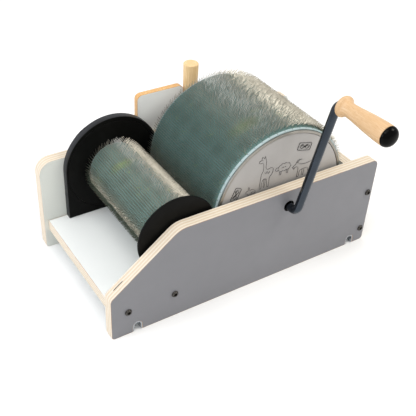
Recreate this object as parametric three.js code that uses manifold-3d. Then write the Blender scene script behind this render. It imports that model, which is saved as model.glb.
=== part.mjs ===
// Hand-cranked drum carder. Two cloth-covered drums turn between laminated plywood side panels:
// the crank turns the large storage drum, and a crossed band turns the small feed drum against it.
// Millimetres. +X is the crank side, -Y the feed side, +Z up. The model is drawn with X = 0 midway
// between the panels, Y = 0 at their front edges and Z = 0 at the table, and is then moved so that
// its origin is the bottom centre of its bounding box.
import * as THREE from 'three';
import { mergeVertices } from 'three/addons/utils/BufferGeometryUtils.js';
import Module from 'manifold-3d';

const wasm = await Module();
wasm.setup();

// ---- Driving dimensions -------------------------------------------------------------------
const PLY = 16.5;              // thickness of every frame board
const INNER_WIDTH = 195;       // clear width between the side panels
const PANEL_LENGTH = 424;
const PANEL_HEIGHT = 145;
const FRONT_HEIGHT = 68.5;     // height of the crank-side panel's front edge
const SLOPE_END = 97.5;        // where that panel reaches its full height
const FOOT_RADIUS = 5;
const TOP_REAR_RADIUS = 10;
const FRONT_RADIUS = 9;
const SLOPE_RADIUS = 30;
const FAR_FRONT_RADIUS = 20;

const TRAY_SETBACK = 6;
const TRAY_FLANGE_GAP = 2.5;   // from the tray's top to the feed drum's far flange
const TRAY_DRUM_GAP = 7;       // from the tray's rear edge to the large drum's pins
const REAR_HEIGHT = 113.5;

const TABLE_GAP = 5.5;         // large drum's pins to the table
const LICKER_Y = 106;
const PIN_GAP = 2;             // between the two drums' pins
const RUN_GAP = 3.7;           // between the crank-side panel and the drums

const DRUM_WIDTH = 176.8;
const SHELL_RADIUS = 103.2;
const SHELL_WALL = 3.5;
const DRUM_CLOTH_T = 2;
const DRUM_PIN = 8.3;          // pin height above the cloth
const DRUM_CLOTH_INSET = 2.3;  // cloth edge to drum end
const DRUM_PIN_INSET = 6.8;    // first pins to drum end
const DISC_T = 12;
const DISC_RECESS = 0.5;       // end disc's face below the shell's end
const HUB_RADIUS = 15;
const HUB_LENGTH = 14;
const DRUM_AXLE_R = 6;
const SPACER_R = 9;
const AXLE_CHAMFER = 1;
const AXLE_END = 1.5;          // axle past its pulley

const LICKER_CORE_R = 34.5;
const LICKER_CLOTH_T = 2;
const LICKER_PIN = 10;
const LICKER_AXLE_R = 5;
const FLANGE_CLOTH_GAP = 0.6;  // crank-side flange of the feed drum to the large drum's cloth
const FLANGE_T = 4;
const FLANGE_EDGE = 1.2;       // rounding of its outer corner
const FAR_FLANGE_RADIUS = 69;
const FAR_FLANGE_T = 3.1;
const FLANGE_PIN_GAP = 1.2;

const ARCH_WALL = 3.5;         // black end plate behind the feed drum: rim around the flange
const ARCH_SHIFT_Y = 1;
const ARCH_RISE = 3;
const ARCH_T = 10.6;
const ARCH_RECESS = 3.4;
const ARCH_BORE_PLAY = 3;
const ARCH_SCREW_INSET = 10;
const ARCH_SCREW_RISE = 12;

const BUSH_R = 11.5;
const BUSH_FLANGE_R = 14.5;
const BUSH_FLANGE_T = 2;
const CRANK_HOLE_R = 8;
const CRANK_HOLE_DEPTH = 5;
const BLIND_BUSH_DEPTH = 12;

const CRANK_ROD_R = 6;
const CRANK_ARM = 161;
const CRANK_ANGLE = 75;        // degrees above the horizontal, leaning to the rear
const CRANK_OFFSET = 16.5;     // arm centre line to the panel's outer face
const CRANK_BEND_R = 10;
const CRANK_SEAT = 34;         // rod length inside the drum axle
const SOCKET_R = 9;            // crank end of the drum axle, bored for the rod
const SOCKET_LENGTH = 55;
const CROSS_PIN_R = 1.5;
const CROSS_PIN_INSET = 6;     // pin to the rod's inner end
const HANDLE_LENGTH = 80;      // without its cap
const HANDLE_GAP = 2;          // arm to handle
const HANDLE_PROFILE = [       // [radius, distance from the handle's inner end]
  [9, 0], [11.8, 0], [13.4, 0.8], [14.2, 3.2], [13.7, 5.5], [11.4, 7.8], [10.1, 11],
  [9.6, 14.5], [9.8, 19], [10.2, 26], [11.2, 36], [12.3, 48], [13.1, 60],
  [13.7, 71], [13.6, HANDLE_LENGTH - 0.5], [13.2, HANDLE_LENGTH],
];
const HANDLE_MOUTH = 5;        // depth of the cone where the rod enters
const CAP_PROFILE = [[0, 10], [4, 9.7], [8, 8.6], [11, 6.6], [12.8, 4], [13.5, 1.4], [13.4, 0.3]];
const CAP_PLUG_R = 9;
const CAP_PLUG_LENGTH = 8;
const CAP_PLUG_WALL = 2;
const CAP_POCKET = 13;         // depth of the pocket under the cap
const RETAINER_R = 8.4;
const RETAINER_T = 1.2;

const BAND_R = 2.5;
const DRUM_PULLEY_R = 12;      // to the band's centre
const LICKER_PULLEY_R = 48;
const PULLEY_W = 12;
const PULLEY_GAP = 2.5;
const PULLEY_HUB = 8;
const PULLEY_HUB_WALL = 5;
const PULLEY_LIP = 2;          // rim past the band's centre
const PULLEY_LAND = 1;
const BAND_PASS = 3;           // sideways offset of each run where the band crosses itself

const GUARD_T = 9;             // thin board standing above the far panel
const GUARD_FRONT = 155;
const GUARD_WIDTH = 75.5;
const GUARD_TOP = 206.5;
const GUARD_LAP = 55;
const GUARD_RADIUS = 8;
const GUARD_SCREW_INSET = 17;

const PICK_GUARD_GAP = 1;      // batt pick, stored upright in the far panel behind the guard
const PICK_HANDLE_LENGTH = 93;
const PICK_HANDLE_R = 10;
const PICK_HANDLE_TOP_R = 11;
const PICK_CHAMFER = 1.5;
const PICK_SPIKE_R = 2;
const PICK_SPIKE_LENGTH = 88;
const PICK_POINT = 8;
const PICK_HOLE_SPARE = 2;     // hole past the spike's point
const PICK_SEAT = 30;

const CLAMP_SLOT_W = 14;
const CLAMP_SLOT_H = 16;
const CLAMP_FRONT_Y = 37;
const CLAMP_REAR_INSET = 26.5;
const LINER_T = 1.6;

const SCREW_R = 2.5;
const SCREW_HEAD_R = 4.8;
const SCREW_HEAD_H = 2.6;
const SCREW_LENGTH = 44;
const TRAY_SCREW_Y = [24, 92];
const REAR_SCREW_Z = [23.6, 90.1];
const GRUB_R = 2;

// ---- Clearances ---------------------------------------------------------------------------
const SEAT = 0.3;              // between pieces that touch
const FIT = 0.15;              // around a pressed or screwed piece
const RUN = 0.1;               // around a turning shaft
const GROOVE_PLAY = 0.6;       // around the band in its pulley grooves
const OVERRUN = 1;             // how far a cutter passes the face it opens

// ---- Places worked out from the sizes -----------------------------------------------------
const INNER = INNER_WIDTH / 2;
const OUTER = INNER + PLY;
const CLAMP_REAR_Y = PANEL_LENGTH - CLAMP_REAR_INSET;
const NEAR_FACE = INNER - RUN_GAP;
const DRUM_FAR = NEAR_FACE - DRUM_WIDTH;
const CLOTH_R = SHELL_RADIUS + DRUM_CLOTH_T;
const DRUM_TIP_R = CLOTH_R + DRUM_PIN;
const LICKER_CLOTH_R = LICKER_CORE_R + LICKER_CLOTH_T;
const LICKER_TIP_R = LICKER_CLOTH_R + LICKER_PIN;
const AXLE_HEIGHT = DRUM_TIP_R + TABLE_GAP;
const TRAY_TOP = AXLE_HEIGHT - FAR_FLANGE_RADIUS - TRAY_FLANGE_GAP;
const AXLE_SPACING = LICKER_TIP_R + PIN_GAP + DRUM_TIP_R;
const DRUM_Y = LICKER_Y + AXLE_SPACING;
const FLANGE_RADIUS = AXLE_SPACING - CLOTH_R - FLANGE_CLOTH_GAP;
const ARCH_RADIUS = FAR_FLANGE_RADIUS + ARCH_WALL;
const ARCH_BACK = -INNER + SEAT;
const ARCH_FACE = ARCH_BACK + ARCH_T;
const RECESS_FLOOR = ARCH_FACE - ARCH_RECESS;
const FAR_FLANGE_BACK = RECESS_FLOOR + 2 * SEAT;
const FAR_FLANGE_FACE = FAR_FLANGE_BACK + FAR_FLANGE_T;
const CORE_NEAR = NEAR_FACE - FLANGE_T - SEAT;
const CORE_FAR = FAR_FLANGE_FACE + SEAT;
const PULLEY_NEAR = -OUTER - PULLEY_GAP;
const PULLEY_FAR = PULLEY_NEAR - PULLEY_W;
const HUB_FAR = PULLEY_FAR - PULLEY_HUB;
const BAND_X = PULLEY_NEAR - PULLEY_W / 2;
const GRUB_X = PULLEY_FAR - PULLEY_HUB / 2;
const GUARD_BACK = GUARD_FRONT + GUARD_WIDTH;
const PICK_X = -INNER - PLY / 2;
const PICK_Y = GUARD_BACK + PICK_HANDLE_TOP_R + PICK_GUARD_GAP;
const ARM_X = OUTER + CRANK_OFFSET;
const CRANK_TILT = THREE.MathUtils.degToRad(CRANK_ANGLE);
const HANDLE_Y = DRUM_Y + CRANK_ARM * Math.cos(CRANK_TILT);
const HANDLE_Z = AXLE_HEIGHT + CRANK_ARM * Math.sin(CRANK_TILT);
const HANDLE_START = ARM_X + CRANK_ROD_R + HANDLE_GAP;
const HANDLE_END = HANDLE_START + HANDLE_LENGTH;
const TRAY_CENTRE = TRAY_TOP - PLY / 2;
const REAR_CENTRE = PANEL_LENGTH - PLY / 2;
const TRAY_BACK = DRUM_Y - Math.sqrt(DRUM_TIP_R ** 2 - (AXLE_HEIGHT - TRAY_TOP) ** 2) - TRAY_DRUM_GAP;

// ---- Finishes -----------------------------------------------------------------------------
const finish = (color, roughness, metalness = 0) =>
  new THREE.MeshStandardMaterial({ color, roughness, metalness });
const laminate = finish('#a7a8a9', 0.5);
const paleLaminate = finish('#d9dcda', 0.45);
const printedDisc = finish('#c3c3c2', 0.5);
const beech = finish('#e0b27c', 0.6);
const softwood = finish('#d9ba86', 0.7);
const blackPlastic = finish('#141414', 0.45);
const nylon = finish('#e8e6dd', 0.5);
const cardCloth = finish('#5c8079', 0.8);
const feedCloth = finish('#84a29b', 0.8);
const band = finish('#c07a3a', 0.6);
const steel = finish('#b9bcc0', 0.3, 1);
const crankSteel = finish('#3c4450', 0.35, 1);
const aluminium = finish('#c9cbcc', 0.4, 1);

// ---- Shape helpers ------------------------------------------------------------------------
// Turns the faces outwards where a profile was drawn the other way round.
function outward(geometry) {
  const solid = mergeVertices(bare(geometry), 1e-4);
  const p = solid.getAttribute('position');
  const index = solid.getIndex().array;
  const [a, b, c] = [new THREE.Vector3(), new THREE.Vector3(), new THREE.Vector3()];
  let volume = 0;
  for (let i = 0; i < index.length; i += 3) {
    a.fromBufferAttribute(p, index[i]);
    b.fromBufferAttribute(p, index[i + 1]);
    c.fromBufferAttribute(p, index[i + 2]);
    volume += a.dot(b.cross(c));
  }
  if (volume < 0) {
    for (let i = 0; i < index.length; i += 3) {
      [index[i], index[i + 1]] = [index[i + 1], index[i]];
    }
  }
  return solid;
}

// A geometry with only its positions, so that its shared corners can be merged.
function bare(geometry) {
  const copy = geometry.clone();
  copy.deleteAttribute('normal');
  copy.deleteAttribute('uv');
  return copy;
}

function toManifold(geometry) {
  const solid = outward(geometry);
  const vertProperties = new Float32Array(solid.getAttribute('position').array);
  const triVerts = new Uint32Array(solid.getIndex().array);
  return new wasm.Manifold(new wasm.Mesh({ numProp: 3, vertProperties, triVerts }));
}

function fromManifold(manifold) {
  const result = manifold.getMesh();
  const geometry = new THREE.BufferGeometry();
  geometry.setAttribute('position', new THREE.BufferAttribute(result.vertProperties, 3));
  geometry.setIndex(new THREE.BufferAttribute(result.triVerts, 1));
  geometry.computeVertexNormals();
  return geometry;
}

// The base geometry less each cutter.
function cut(base, ...cutters) {
  let solid = toManifold(base);
  for (const cutter of cutters) {
    solid = solid.subtract(toManifold(cutter));
  }
  return fromManifold(solid);
}

function mesh(name, geometry, material) {
  const piece = new THREE.Mesh(geometry, material);
  piece.name = name;
  return piece;
}

// An outline from corners [y, z, radius], with each corner rounded by its radius.
function rounded(corners, steps = 6) {
  const points = [];
  corners.forEach(([y, z, radius = 0], i) => {
    const corner = new THREE.Vector2(y, z);
    const [py, pz] = corners.at(i - 1);
    const [ny, nz] = corners[(i + 1) % corners.length];
    const back = new THREE.Vector2(py - y, pz - z).normalize();
    const ahead = new THREE.Vector2(ny - y, nz - z).normalize();
    if (radius === 0) {
      points.push(corner);
      return;
    }
    const half = Math.acos(THREE.MathUtils.clamp(back.dot(ahead), -1, 1)) / 2;
    const centre = back.clone().add(ahead).normalize().multiplyScalar(radius / Math.sin(half)).add(corner);
    const from = corner.clone().addScaledVector(back, radius / Math.tan(half)).sub(centre);
    const to = corner.clone().addScaledVector(ahead, radius / Math.tan(half)).sub(centre);
    const turn = Math.atan2(from.cross(to), from.dot(to));
    for (let k = 0; k <= steps; k += 1) {
      points.push(from.clone().rotateAround(new THREE.Vector2(), (turn * k) / steps).add(centre));
    }
  });
  const apart = points.filter((point, i) => point.distanceTo(points.at(i - 1)) > 1e-3);
  return new THREE.Shape(apart);
}

// A board whose outline lies in the Y-Z plane, from x = start, thickness towards +X.
function boardAcross(shape, start, thickness) {
  const geometry = new THREE.ExtrudeGeometry(shape, { depth: thickness, bevelEnabled: false });
  geometry.rotateY(Math.PI / 2);
  geometry.rotateX(Math.PI / 2);
  return geometry.translate(start, 0, 0);
}

function box(low, high) {
  const size = high.map((value, i) => value - low[i]);
  const middle = high.map((value, i) => (value + low[i]) / 2);
  return new THREE.BoxGeometry(...size).translate(...middle);
}

function rodAlongX(radius, from, to, y, z, sides = 24) {
  const rod = new THREE.CylinderGeometry(radius, radius, Math.abs(to - from), sides);
  return rod.rotateZ(-Math.PI / 2).translate((from + to) / 2, y, z);
}

function rodAlongZ(radius, from, to, x, y, sides = 16) {
  const rod = new THREE.CylinderGeometry(radius, radius, Math.abs(to - from), sides);
  return rod.rotateX(Math.PI / 2).translate(x, y, (from + to) / 2);
}

// A turned piece: the profile's points are [radius, distance along the axis]. A profile that
// doesn't start and end on the axis is closed on itself.
function turned(profile, sides = 32) {
  const points = profile.map(([r, x]) => new THREE.Vector2(r, x));
  const onAxis = profile[0][0] === 0 && profile.at(-1)[0] === 0;
  if (!onAxis) {
    points.push(points[0].clone());
  }
  return outward(new THREE.LatheGeometry(points, sides));
}

const ring = (inner, outer, from, to) => [[inner, from], [outer, from], [outer, to], [inner, to]];

// Stations along a bent rod or a band, so that the bends get more sections than the straights.
class StationPath extends THREE.Curve {
  constructor(stations) {
    super();
    this.stations = stations;
  }

  at(u) {
    return Math.round(u * (this.stations.length - 1));
  }

  getPointAt(u) {
    return this.stations[this.at(u)].clone();
  }

  getTangentAt(u) {
    const i = this.at(u);
    const before = this.stations[Math.max(i - 1, 0)];
    const after = this.stations[Math.min(i + 1, this.stations.length - 1)];
    return after.clone().sub(before).normalize();
  }
}

function tubeThrough(stations, radius, sides) {
  const section = new THREE.Shape();
  section.absarc(0, 0, radius, 0, 2 * Math.PI);
  const settings = {
    steps: stations.length - 1,
    extrudePath: new StationPath(stations),
    curveSegments: sides / 2,
    bevelEnabled: false,
  };
  return outward(new THREE.ExtrudeGeometry(section, settings));
}

// Turned pieces are drawn along a group's own Y axis, which lies along the model's X axis.
function axleGroup(y, z) {
  const group = new THREE.Group();
  group.position.set(0, y, z);
  group.rotation.z = -Math.PI / 2;
  return group;
}

// ---- Side panels, tray and rear board -----------------------------------------------------
const slotCorners = (y) => [
  [y + CLAMP_SLOT_W / 2, 0],
  [y + CLAMP_SLOT_W / 2, CLAMP_SLOT_H, CLAMP_SLOT_W / 2],
  [y - CLAMP_SLOT_W / 2, CLAMP_SLOT_H, CLAMP_SLOT_W / 2],
  [y - CLAMP_SLOT_W / 2, 0],
];
const bottomEdge = [
  [PANEL_LENGTH, 0, FOOT_RADIUS],
  ...slotCorners(CLAMP_REAR_Y),
  ...slotCorners(CLAMP_FRONT_Y),
  [0, 0, FOOT_RADIUS],
];
const nearOutline = rounded([
  ...bottomEdge,
  [0, FRONT_HEIGHT, FRONT_RADIUS],
  [SLOPE_END, PANEL_HEIGHT, SLOPE_RADIUS],
  [PANEL_LENGTH, PANEL_HEIGHT, TOP_REAR_RADIUS],
]);
const farOutline = rounded([
  ...bottomEdge,
  [0, PANEL_HEIGHT, FAR_FRONT_RADIUS],
  [PANEL_LENGTH, PANEL_HEIGHT, TOP_REAR_RADIUS],
]);

// Where the frame screws go in: through a side panel into the tray or into the rear board.
const screwPlaces = [
  ...TRAY_SCREW_Y.map((y) => [y, TRAY_CENTRE]),
  ...REAR_SCREW_Z.map((z) => [REAR_CENTRE, z]),
];
const archScrewPlaces = [-1, 1].map((end) =>
  [LICKER_Y + end * (ARCH_RADIUS - ARCH_SCREW_INSET), TRAY_TOP + ARCH_SCREW_RISE]);
const guardScrewPlaces = [GUARD_FRONT + GUARD_SCREW_INSET, GUARD_BACK - GUARD_SCREW_INSET]
  .map((y) => [y, PANEL_HEIGHT - GUARD_LAP / 2]);

const screwBores = (places, from, to) =>
  places.map(([y, z]) => rodAlongX(SCREW_R + FIT, from, to, y, z, 16));

function rightSidePanel() {
  const board = boardAcross(nearOutline, INNER, PLY);
  const stop = OUTER - CRANK_HOLE_DEPTH;
  return cut(
    board,
    rodAlongX(CRANK_HOLE_R, INNER - OVERRUN, OUTER + OVERRUN, DRUM_Y, AXLE_HEIGHT),
    rodAlongX(BUSH_R + FIT, INNER - OVERRUN, stop, DRUM_Y, AXLE_HEIGHT, 48),
    rodAlongX(BUSH_R + FIT, INNER - OVERRUN, INNER + BLIND_BUSH_DEPTH, LICKER_Y, AXLE_HEIGHT, 48),
    ...screwBores(screwPlaces, INNER - OVERRUN, OUTER + OVERRUN),
  );
}

function leftSidePanel() {
  const board = boardAcross(farOutline, -OUTER, PLY);
  const lapDepth = GUARD_T + SEAT;
  const lap = box(
    [-OUTER - OVERRUN, GUARD_FRONT - SEAT, PANEL_HEIGHT - GUARD_LAP - SEAT],
    [-OUTER + lapDepth, GUARD_BACK + SEAT, PANEL_HEIGHT + OVERRUN],
  );
  const spikeBottom = PANEL_HEIGHT + SEAT - PICK_SPIKE_LENGTH - PICK_HOLE_SPARE;
  return cut(
    board,
    lap,
    rodAlongX(BUSH_R + FIT, -OUTER - OVERRUN, -INNER + OVERRUN, DRUM_Y, AXLE_HEIGHT, 48),
    rodAlongX(BUSH_R + FIT, -OUTER - OVERRUN, -INNER + OVERRUN, LICKER_Y, AXLE_HEIGHT, 48),
    rodAlongZ(PICK_SPIKE_R + RUN, spikeBottom, PANEL_HEIGHT + OVERRUN, PICK_X, PICK_Y),
    ...screwBores(screwPlaces, -OUTER - OVERRUN, -INNER + OVERRUN),
    ...screwBores(archScrewPlaces, -OUTER - OVERRUN, -INNER + OVERRUN),
    ...screwBores(guardScrewPlaces, -OUTER - OVERRUN, -INNER + OVERRUN),
  );
}

const screwTip = OUTER - SCREW_LENGTH - OVERRUN;

function feedTray() {
  const board = box(
    [-INNER + SEAT, TRAY_SETBACK, TRAY_TOP - PLY],
    [INNER - SEAT, TRAY_BACK, TRAY_TOP],
  );
  const places = screwPlaces.slice(0, TRAY_SCREW_Y.length);
  return cut(board, ...screwBores(places, screwTip, INNER), ...screwBores(places, -INNER, -screwTip));
}

function rearPanel() {
  const board = box(
    [-INNER + SEAT, PANEL_LENGTH - PLY, 0],
    [INNER - SEAT, PANEL_LENGTH, REAR_HEIGHT],
  );
  const places = screwPlaces.slice(TRAY_SCREW_Y.length);
  return cut(board, ...screwBores(places, screwTip, INNER), ...screwBores(places, -INNER, -screwTip));
}

// ---- Screws and clamp liners --------------------------------------------------------------
// A button-head screw drawn along Y: the head's seat at 0 and the shank towards -Y.
function buttonScrew(length) {
  return turned([
    [0, -length],
    [SCREW_R * 0.5, -length],
    [SCREW_R, -length + SCREW_R],
    [SCREW_R, SEAT],
    [SCREW_HEAD_R, SEAT],
    [SCREW_HEAD_R * 0.85, SCREW_HEAD_H * 0.75],
    [SCREW_HEAD_R * 0.5, SCREW_HEAD_H],
    [SCREW_R * 0.6, SCREW_HEAD_H * 0.3],
    [0, SCREW_HEAD_H * 0.3],
  ], 16);
}

function screwAt(name, geometry, x, y, z, side) {
  const screw = mesh(name, geometry, steel);
  screw.position.set(x, y, z);
  screw.rotation.z = (-side * Math.PI) / 2;
  return screw;
}

function frameScrews() {
  const labels = ['tray_front', 'tray_rear', 'back_lower', 'back_upper'];
  const geometry = buttonScrew(SCREW_LENGTH);
  return [['right', 1], ['left', -1]].flatMap(([side, sign]) =>
    screwPlaces.map(([y, z], i) =>
      screwAt(`screw_${side}_${labels[i]}`, geometry, sign * OUTER, y, z, sign)));
}

function clampLiners() {
  const half = CLAMP_SLOT_W / 2 - SEAT;
  const top = CLAMP_SLOT_H - SEAT;
  const thin = half - LINER_T;
  const arch = rounded([
    [-half, 2 * SEAT],
    [-half, top, half],
    [half, top, half],
    [half, 2 * SEAT],
    [thin, 2 * SEAT],
    [thin, top - LINER_T, thin],
    [-thin, top - LINER_T, thin],
    [-thin, 2 * SEAT],
  ]);
  const geometry = boardAcross(arch, SEAT, PLY - 2 * SEAT);
  return [['right', INNER], ['left', -OUTER]].flatMap(([side, x]) =>
    [['front', CLAMP_FRONT_Y], ['rear', CLAMP_REAR_Y]].map(([end, y]) => {
      const liner = mesh(`clamp_liner_${side}_${end}`, geometry, steel);
      liner.position.set(x, y, 0);
      return liner;
    }));
}

// ---- Bearings -----------------------------------------------------------------------------
// A flanged bush along X, its flange on the panel's inner face and towards the drum.
function flangedBush(name, shaftR, inner, depth, side, y) {
  const face = inner + side * SEAT;
  const bush = mesh(name, turned([
    [shaftR + RUN, face - side * (BUSH_FLANGE_T + SEAT)],
    [BUSH_FLANGE_R, face - side * (BUSH_FLANGE_T + SEAT)],
    [BUSH_FLANGE_R, face - side * 2 * SEAT],
    [BUSH_R, face - side * 2 * SEAT],
    [BUSH_R, inner + side * depth],
    [shaftR + RUN, inner + side * depth],
  ]), nylon);
  const group = axleGroup(y, AXLE_HEIGHT);
  group.add(bush);
  return group;
}

function bushes() {
  const crankSide = PLY - CRANK_HOLE_DEPTH - SEAT;
  return [
    flangedBush('drum_bush_right', SOCKET_R, INNER, crankSide, 1, DRUM_Y),
    flangedBush('licker_bush_right', LICKER_AXLE_R, INNER, BLIND_BUSH_DEPTH - SEAT, 1, LICKER_Y),
    flangedBush('drum_bush_left', DRUM_AXLE_R, -INNER, PLY, -1, DRUM_Y),
  ];
}

// The feed drum's far bush has no flange, because the arch plate covers its panel.
function plainBush() {
  const group = axleGroup(LICKER_Y, AXLE_HEIGHT);
  group.add(mesh('licker_bush_left', turned(ring(LICKER_AXLE_R + RUN, BUSH_R, -OUTER, -INNER)), nylon));
  return group;
}

// ---- Arch plate, guard board and batt pick ------------------------------------------------
function archPlate() {
  const centreY = LICKER_Y + ARCH_SHIFT_Y;
  const centreZ = AXLE_HEIGHT + ARCH_RISE;
  const outline = new THREE.Shape();
  outline.moveTo(centreY - ARCH_RADIUS, TRAY_TOP + SEAT);
  outline.lineTo(centreY + ARCH_RADIUS, TRAY_TOP + SEAT);
  outline.absarc(centreY, centreZ, ARCH_RADIUS, 0, Math.PI);
  const geometry = new THREE.ExtrudeGeometry(outline, {
    depth: ARCH_T, bevelEnabled: false, curveSegments: 28,
  });
  geometry.rotateY(Math.PI / 2);
  geometry.rotateX(Math.PI / 2);
  geometry.translate(ARCH_BACK, 0, 0);
  const recessRadius = FAR_FLANGE_RADIUS + 2 * SEAT;
  return cut(
    geometry,
    rodAlongX(recessRadius, RECESS_FLOOR, ARCH_FACE + OVERRUN, LICKER_Y, AXLE_HEIGHT, 48),
    rodAlongX(LICKER_AXLE_R + ARCH_BORE_PLAY, ARCH_BACK - OVERRUN, ARCH_FACE, LICKER_Y, AXLE_HEIGHT),
    ...screwBores(archScrewPlaces, ARCH_BACK - OVERRUN, RECESS_FLOOR - OVERRUN),
  );
}

function archScrews() {
  const geometry = buttonScrew(RECESS_FLOOR - 2 * OVERRUN + OUTER);
  return archScrewPlaces.map(([y, z], i) =>
    screwAt(`arch_screw_${['front', 'rear'][i]}`, geometry, -OUTER, y, z, -1));
}

function guardBoard() {
  const bottom = PANEL_HEIGHT - GUARD_LAP;
  const outline = rounded([
    [GUARD_BACK, bottom],
    [GUARD_FRONT, bottom],
    [GUARD_FRONT, GUARD_TOP, GUARD_RADIUS],
    [GUARD_BACK, GUARD_TOP, GUARD_RADIUS],
  ]);
  const sinks = guardScrewPlaces.map(([y, z]) =>
    turned([
      [0, -OVERRUN],
      [SCREW_R + FIT, -OVERRUN],
      [SCREW_R + FIT, GUARD_T - SCREW_HEAD_H],
      [SCREW_HEAD_R + FIT, GUARD_T],
      [SCREW_HEAD_R + FIT, GUARD_T + OVERRUN],
      [0, GUARD_T + OVERRUN],
    ], 24).rotateZ(Math.PI / 2).translate(-OUTER + GUARD_T, y, z));
  return cut(boardAcross(outline, -OUTER, GUARD_T), ...sinks);
}

// Countersunk screws, flush with the guard board's outer face.
function guardScrews() {
  const length = PLY - 2 * OVERRUN;
  const geometry = turned([
    [0, -length],
    [SCREW_R, -length],
    [SCREW_R, -SCREW_HEAD_H],
    [SCREW_HEAD_R - SEAT, -SEAT],
    [SCREW_R * 0.6, -SEAT],
    [SCREW_R * 0.3, -SCREW_HEAD_H],
    [0, -SCREW_HEAD_H],
  ], 16);
  return guardScrewPlaces.map(([y, z], i) =>
    screwAt(`guard_screw_${['front', 'rear'][i]}`, geometry, -OUTER, y, z, -1));
}

// A spike for lifting the finished batt, standing in a hole in the far panel's top edge.
function battPick() {
  const seat = PANEL_HEIGHT + SEAT;
  const top = seat + PICK_HANDLE_LENGTH;
  const handle = turned([
    [0, seat + PICK_SEAT],
    [PICK_SPIKE_R + FIT, seat + PICK_SEAT],
    [PICK_SPIKE_R + FIT, seat],
    [PICK_HANDLE_R - PICK_CHAMFER, seat],
    [PICK_HANDLE_R, seat + PICK_CHAMFER],
    [PICK_HANDLE_TOP_R, top - PICK_CHAMFER],
    [PICK_HANDLE_TOP_R - PICK_CHAMFER, top],
    [0, top],
  ], 32);
  const spike = turned([
    [0, seat - PICK_SPIKE_LENGTH],
    [PICK_SPIKE_R, seat - PICK_SPIKE_LENGTH + PICK_POINT],
    [PICK_SPIKE_R, seat + PICK_SEAT - SEAT],
    [0, seat + PICK_SEAT - SEAT],
  ], 16);
  return [mesh('pick_handle', handle, softwood), mesh('pick_spike', spike, steel)].map((piece) => {
    piece.position.set(PICK_X, PICK_Y, 0);
    piece.rotation.x = Math.PI / 2;
    return piece;
  });
}

// ---- Pulleys and crossed band -------------------------------------------------------------
function pulley(name, pitchR, shaftR) {
  const floor = pitchR - BAND_R - GROOVE_PLAY;
  const rim = pitchR + PULLEY_LIP;
  const bore = shaftR + FIT;
  const hubR = Math.min(floor, shaftR + PULLEY_HUB_WALL);
  const half = BAND_R + GROOVE_PLAY;
  const body = turned([
    [bore, PULLEY_NEAR],
    [rim, PULLEY_NEAR],
    [rim, BAND_X + half + PULLEY_LAND],
    [floor + half, BAND_X + half],
    [floor, BAND_X + half / 2],
    [floor, BAND_X - half / 2],
    [floor + half, BAND_X - half],
    [rim, BAND_X - half - PULLEY_LAND],
    [rim, PULLEY_FAR],
    [hubR, PULLEY_FAR],
    [hubR, HUB_FAR],
    [bore, HUB_FAR],
  ]);
  const grubBore = new THREE.CylinderGeometry(GRUB_R + FIT, GRUB_R + FIT, hubR + OVERRUN, 16);
  grubBore.rotateZ(Math.PI / 2).translate((hubR + OVERRUN) / 2, GRUB_X, 0);
  const grub = new THREE.CylinderGeometry(GRUB_R, GRUB_R, hubR - shaftR - 2 * SEAT, 16);
  grub.rotateZ(Math.PI / 2).translate((hubR + shaftR) / 2, GRUB_X, 0);
  return [
    mesh(name, cut(body, grubBore), blackPlastic),
    mesh(`${name}_grub_screw`, grub, steel),
  ];
}

// The band leaves the top of one pulley for the bottom of the other, so the two drums turn
// opposite ways. Each run moves aside where the two cross.
function driveBand() {
  const distance = DRUM_Y - LICKER_Y;
  const reach = Math.acos((DRUM_PULLEY_R + LICKER_PULLEY_R) / distance);
  const crossing = DRUM_PULLEY_R / (DRUM_PULLEY_R + LICKER_PULLEY_R);
  const at = (y, radius, angle) =>
    new THREE.Vector3(BAND_X, y + radius * Math.cos(angle), AXLE_HEIGHT + radius * Math.sin(angle));
  const arc = (y, radius, start, end, steps) =>
    Array.from({ length: steps + 1 }, (_, i) => at(y, radius, start + ((end - start) * i) / steps));
  const aside = (s) => {
    const t = s < crossing ? s / crossing : (1 - s) / (1 - crossing);
    return THREE.MathUtils.smoothstep(t, 0, 1) * BAND_PASS;
  };
  const run = (from, to, fraction, side, steps) =>
    Array.from({ length: steps }, (_, i) => {
      const t = (i + 1) / (steps + 1);
      return from.clone().lerp(to, t).add(new THREE.Vector3(side * aside(fraction(t)), 0, 0));
    });
  const drumTop = at(DRUM_Y, DRUM_PULLEY_R, Math.PI - reach);
  const drumBottom = at(DRUM_Y, DRUM_PULLEY_R, Math.PI + reach);
  const lickerTop = at(LICKER_Y, LICKER_PULLEY_R, reach);
  const lickerBottom = at(LICKER_Y, LICKER_PULLEY_R, -reach);
  const stations = [
    ...arc(DRUM_Y, DRUM_PULLEY_R, Math.PI - reach, -Math.PI + reach, 18),
    ...run(drumBottom, lickerTop, (t) => t, 1, 11),
    ...arc(LICKER_Y, LICKER_PULLEY_R, reach, 2 * Math.PI - reach, 30),
    ...run(lickerBottom, drumTop, (t) => 1 - t, -1, 11),
  ];
  const joint = drumTop.clone().lerp(stations.at(-1), SEAT / drumTop.distanceTo(stations.at(-1)));
  return mesh('drive_band', tubeThrough([...stations, joint], BAND_R, 8), band);
}

// ---- Large drum, with its axle, pulley and crank ------------------------------------------
function endDisc(name, face, side, shaftR) {
  const outside = face - side * DISC_RECESS;
  const inside = outside - side * DISC_T;
  return mesh(name, turned([
    [shaftR + FIT, outside],
    [SHELL_RADIUS - SHELL_WALL - SEAT, outside],
    [SHELL_RADIUS - SHELL_WALL - SEAT, inside],
    [HUB_RADIUS, inside],
    [HUB_RADIUS, inside - side * HUB_LENGTH],
    [shaftR + FIT, inside - side * HUB_LENGTH],
  ], 48), printedDisc);
}

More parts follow.
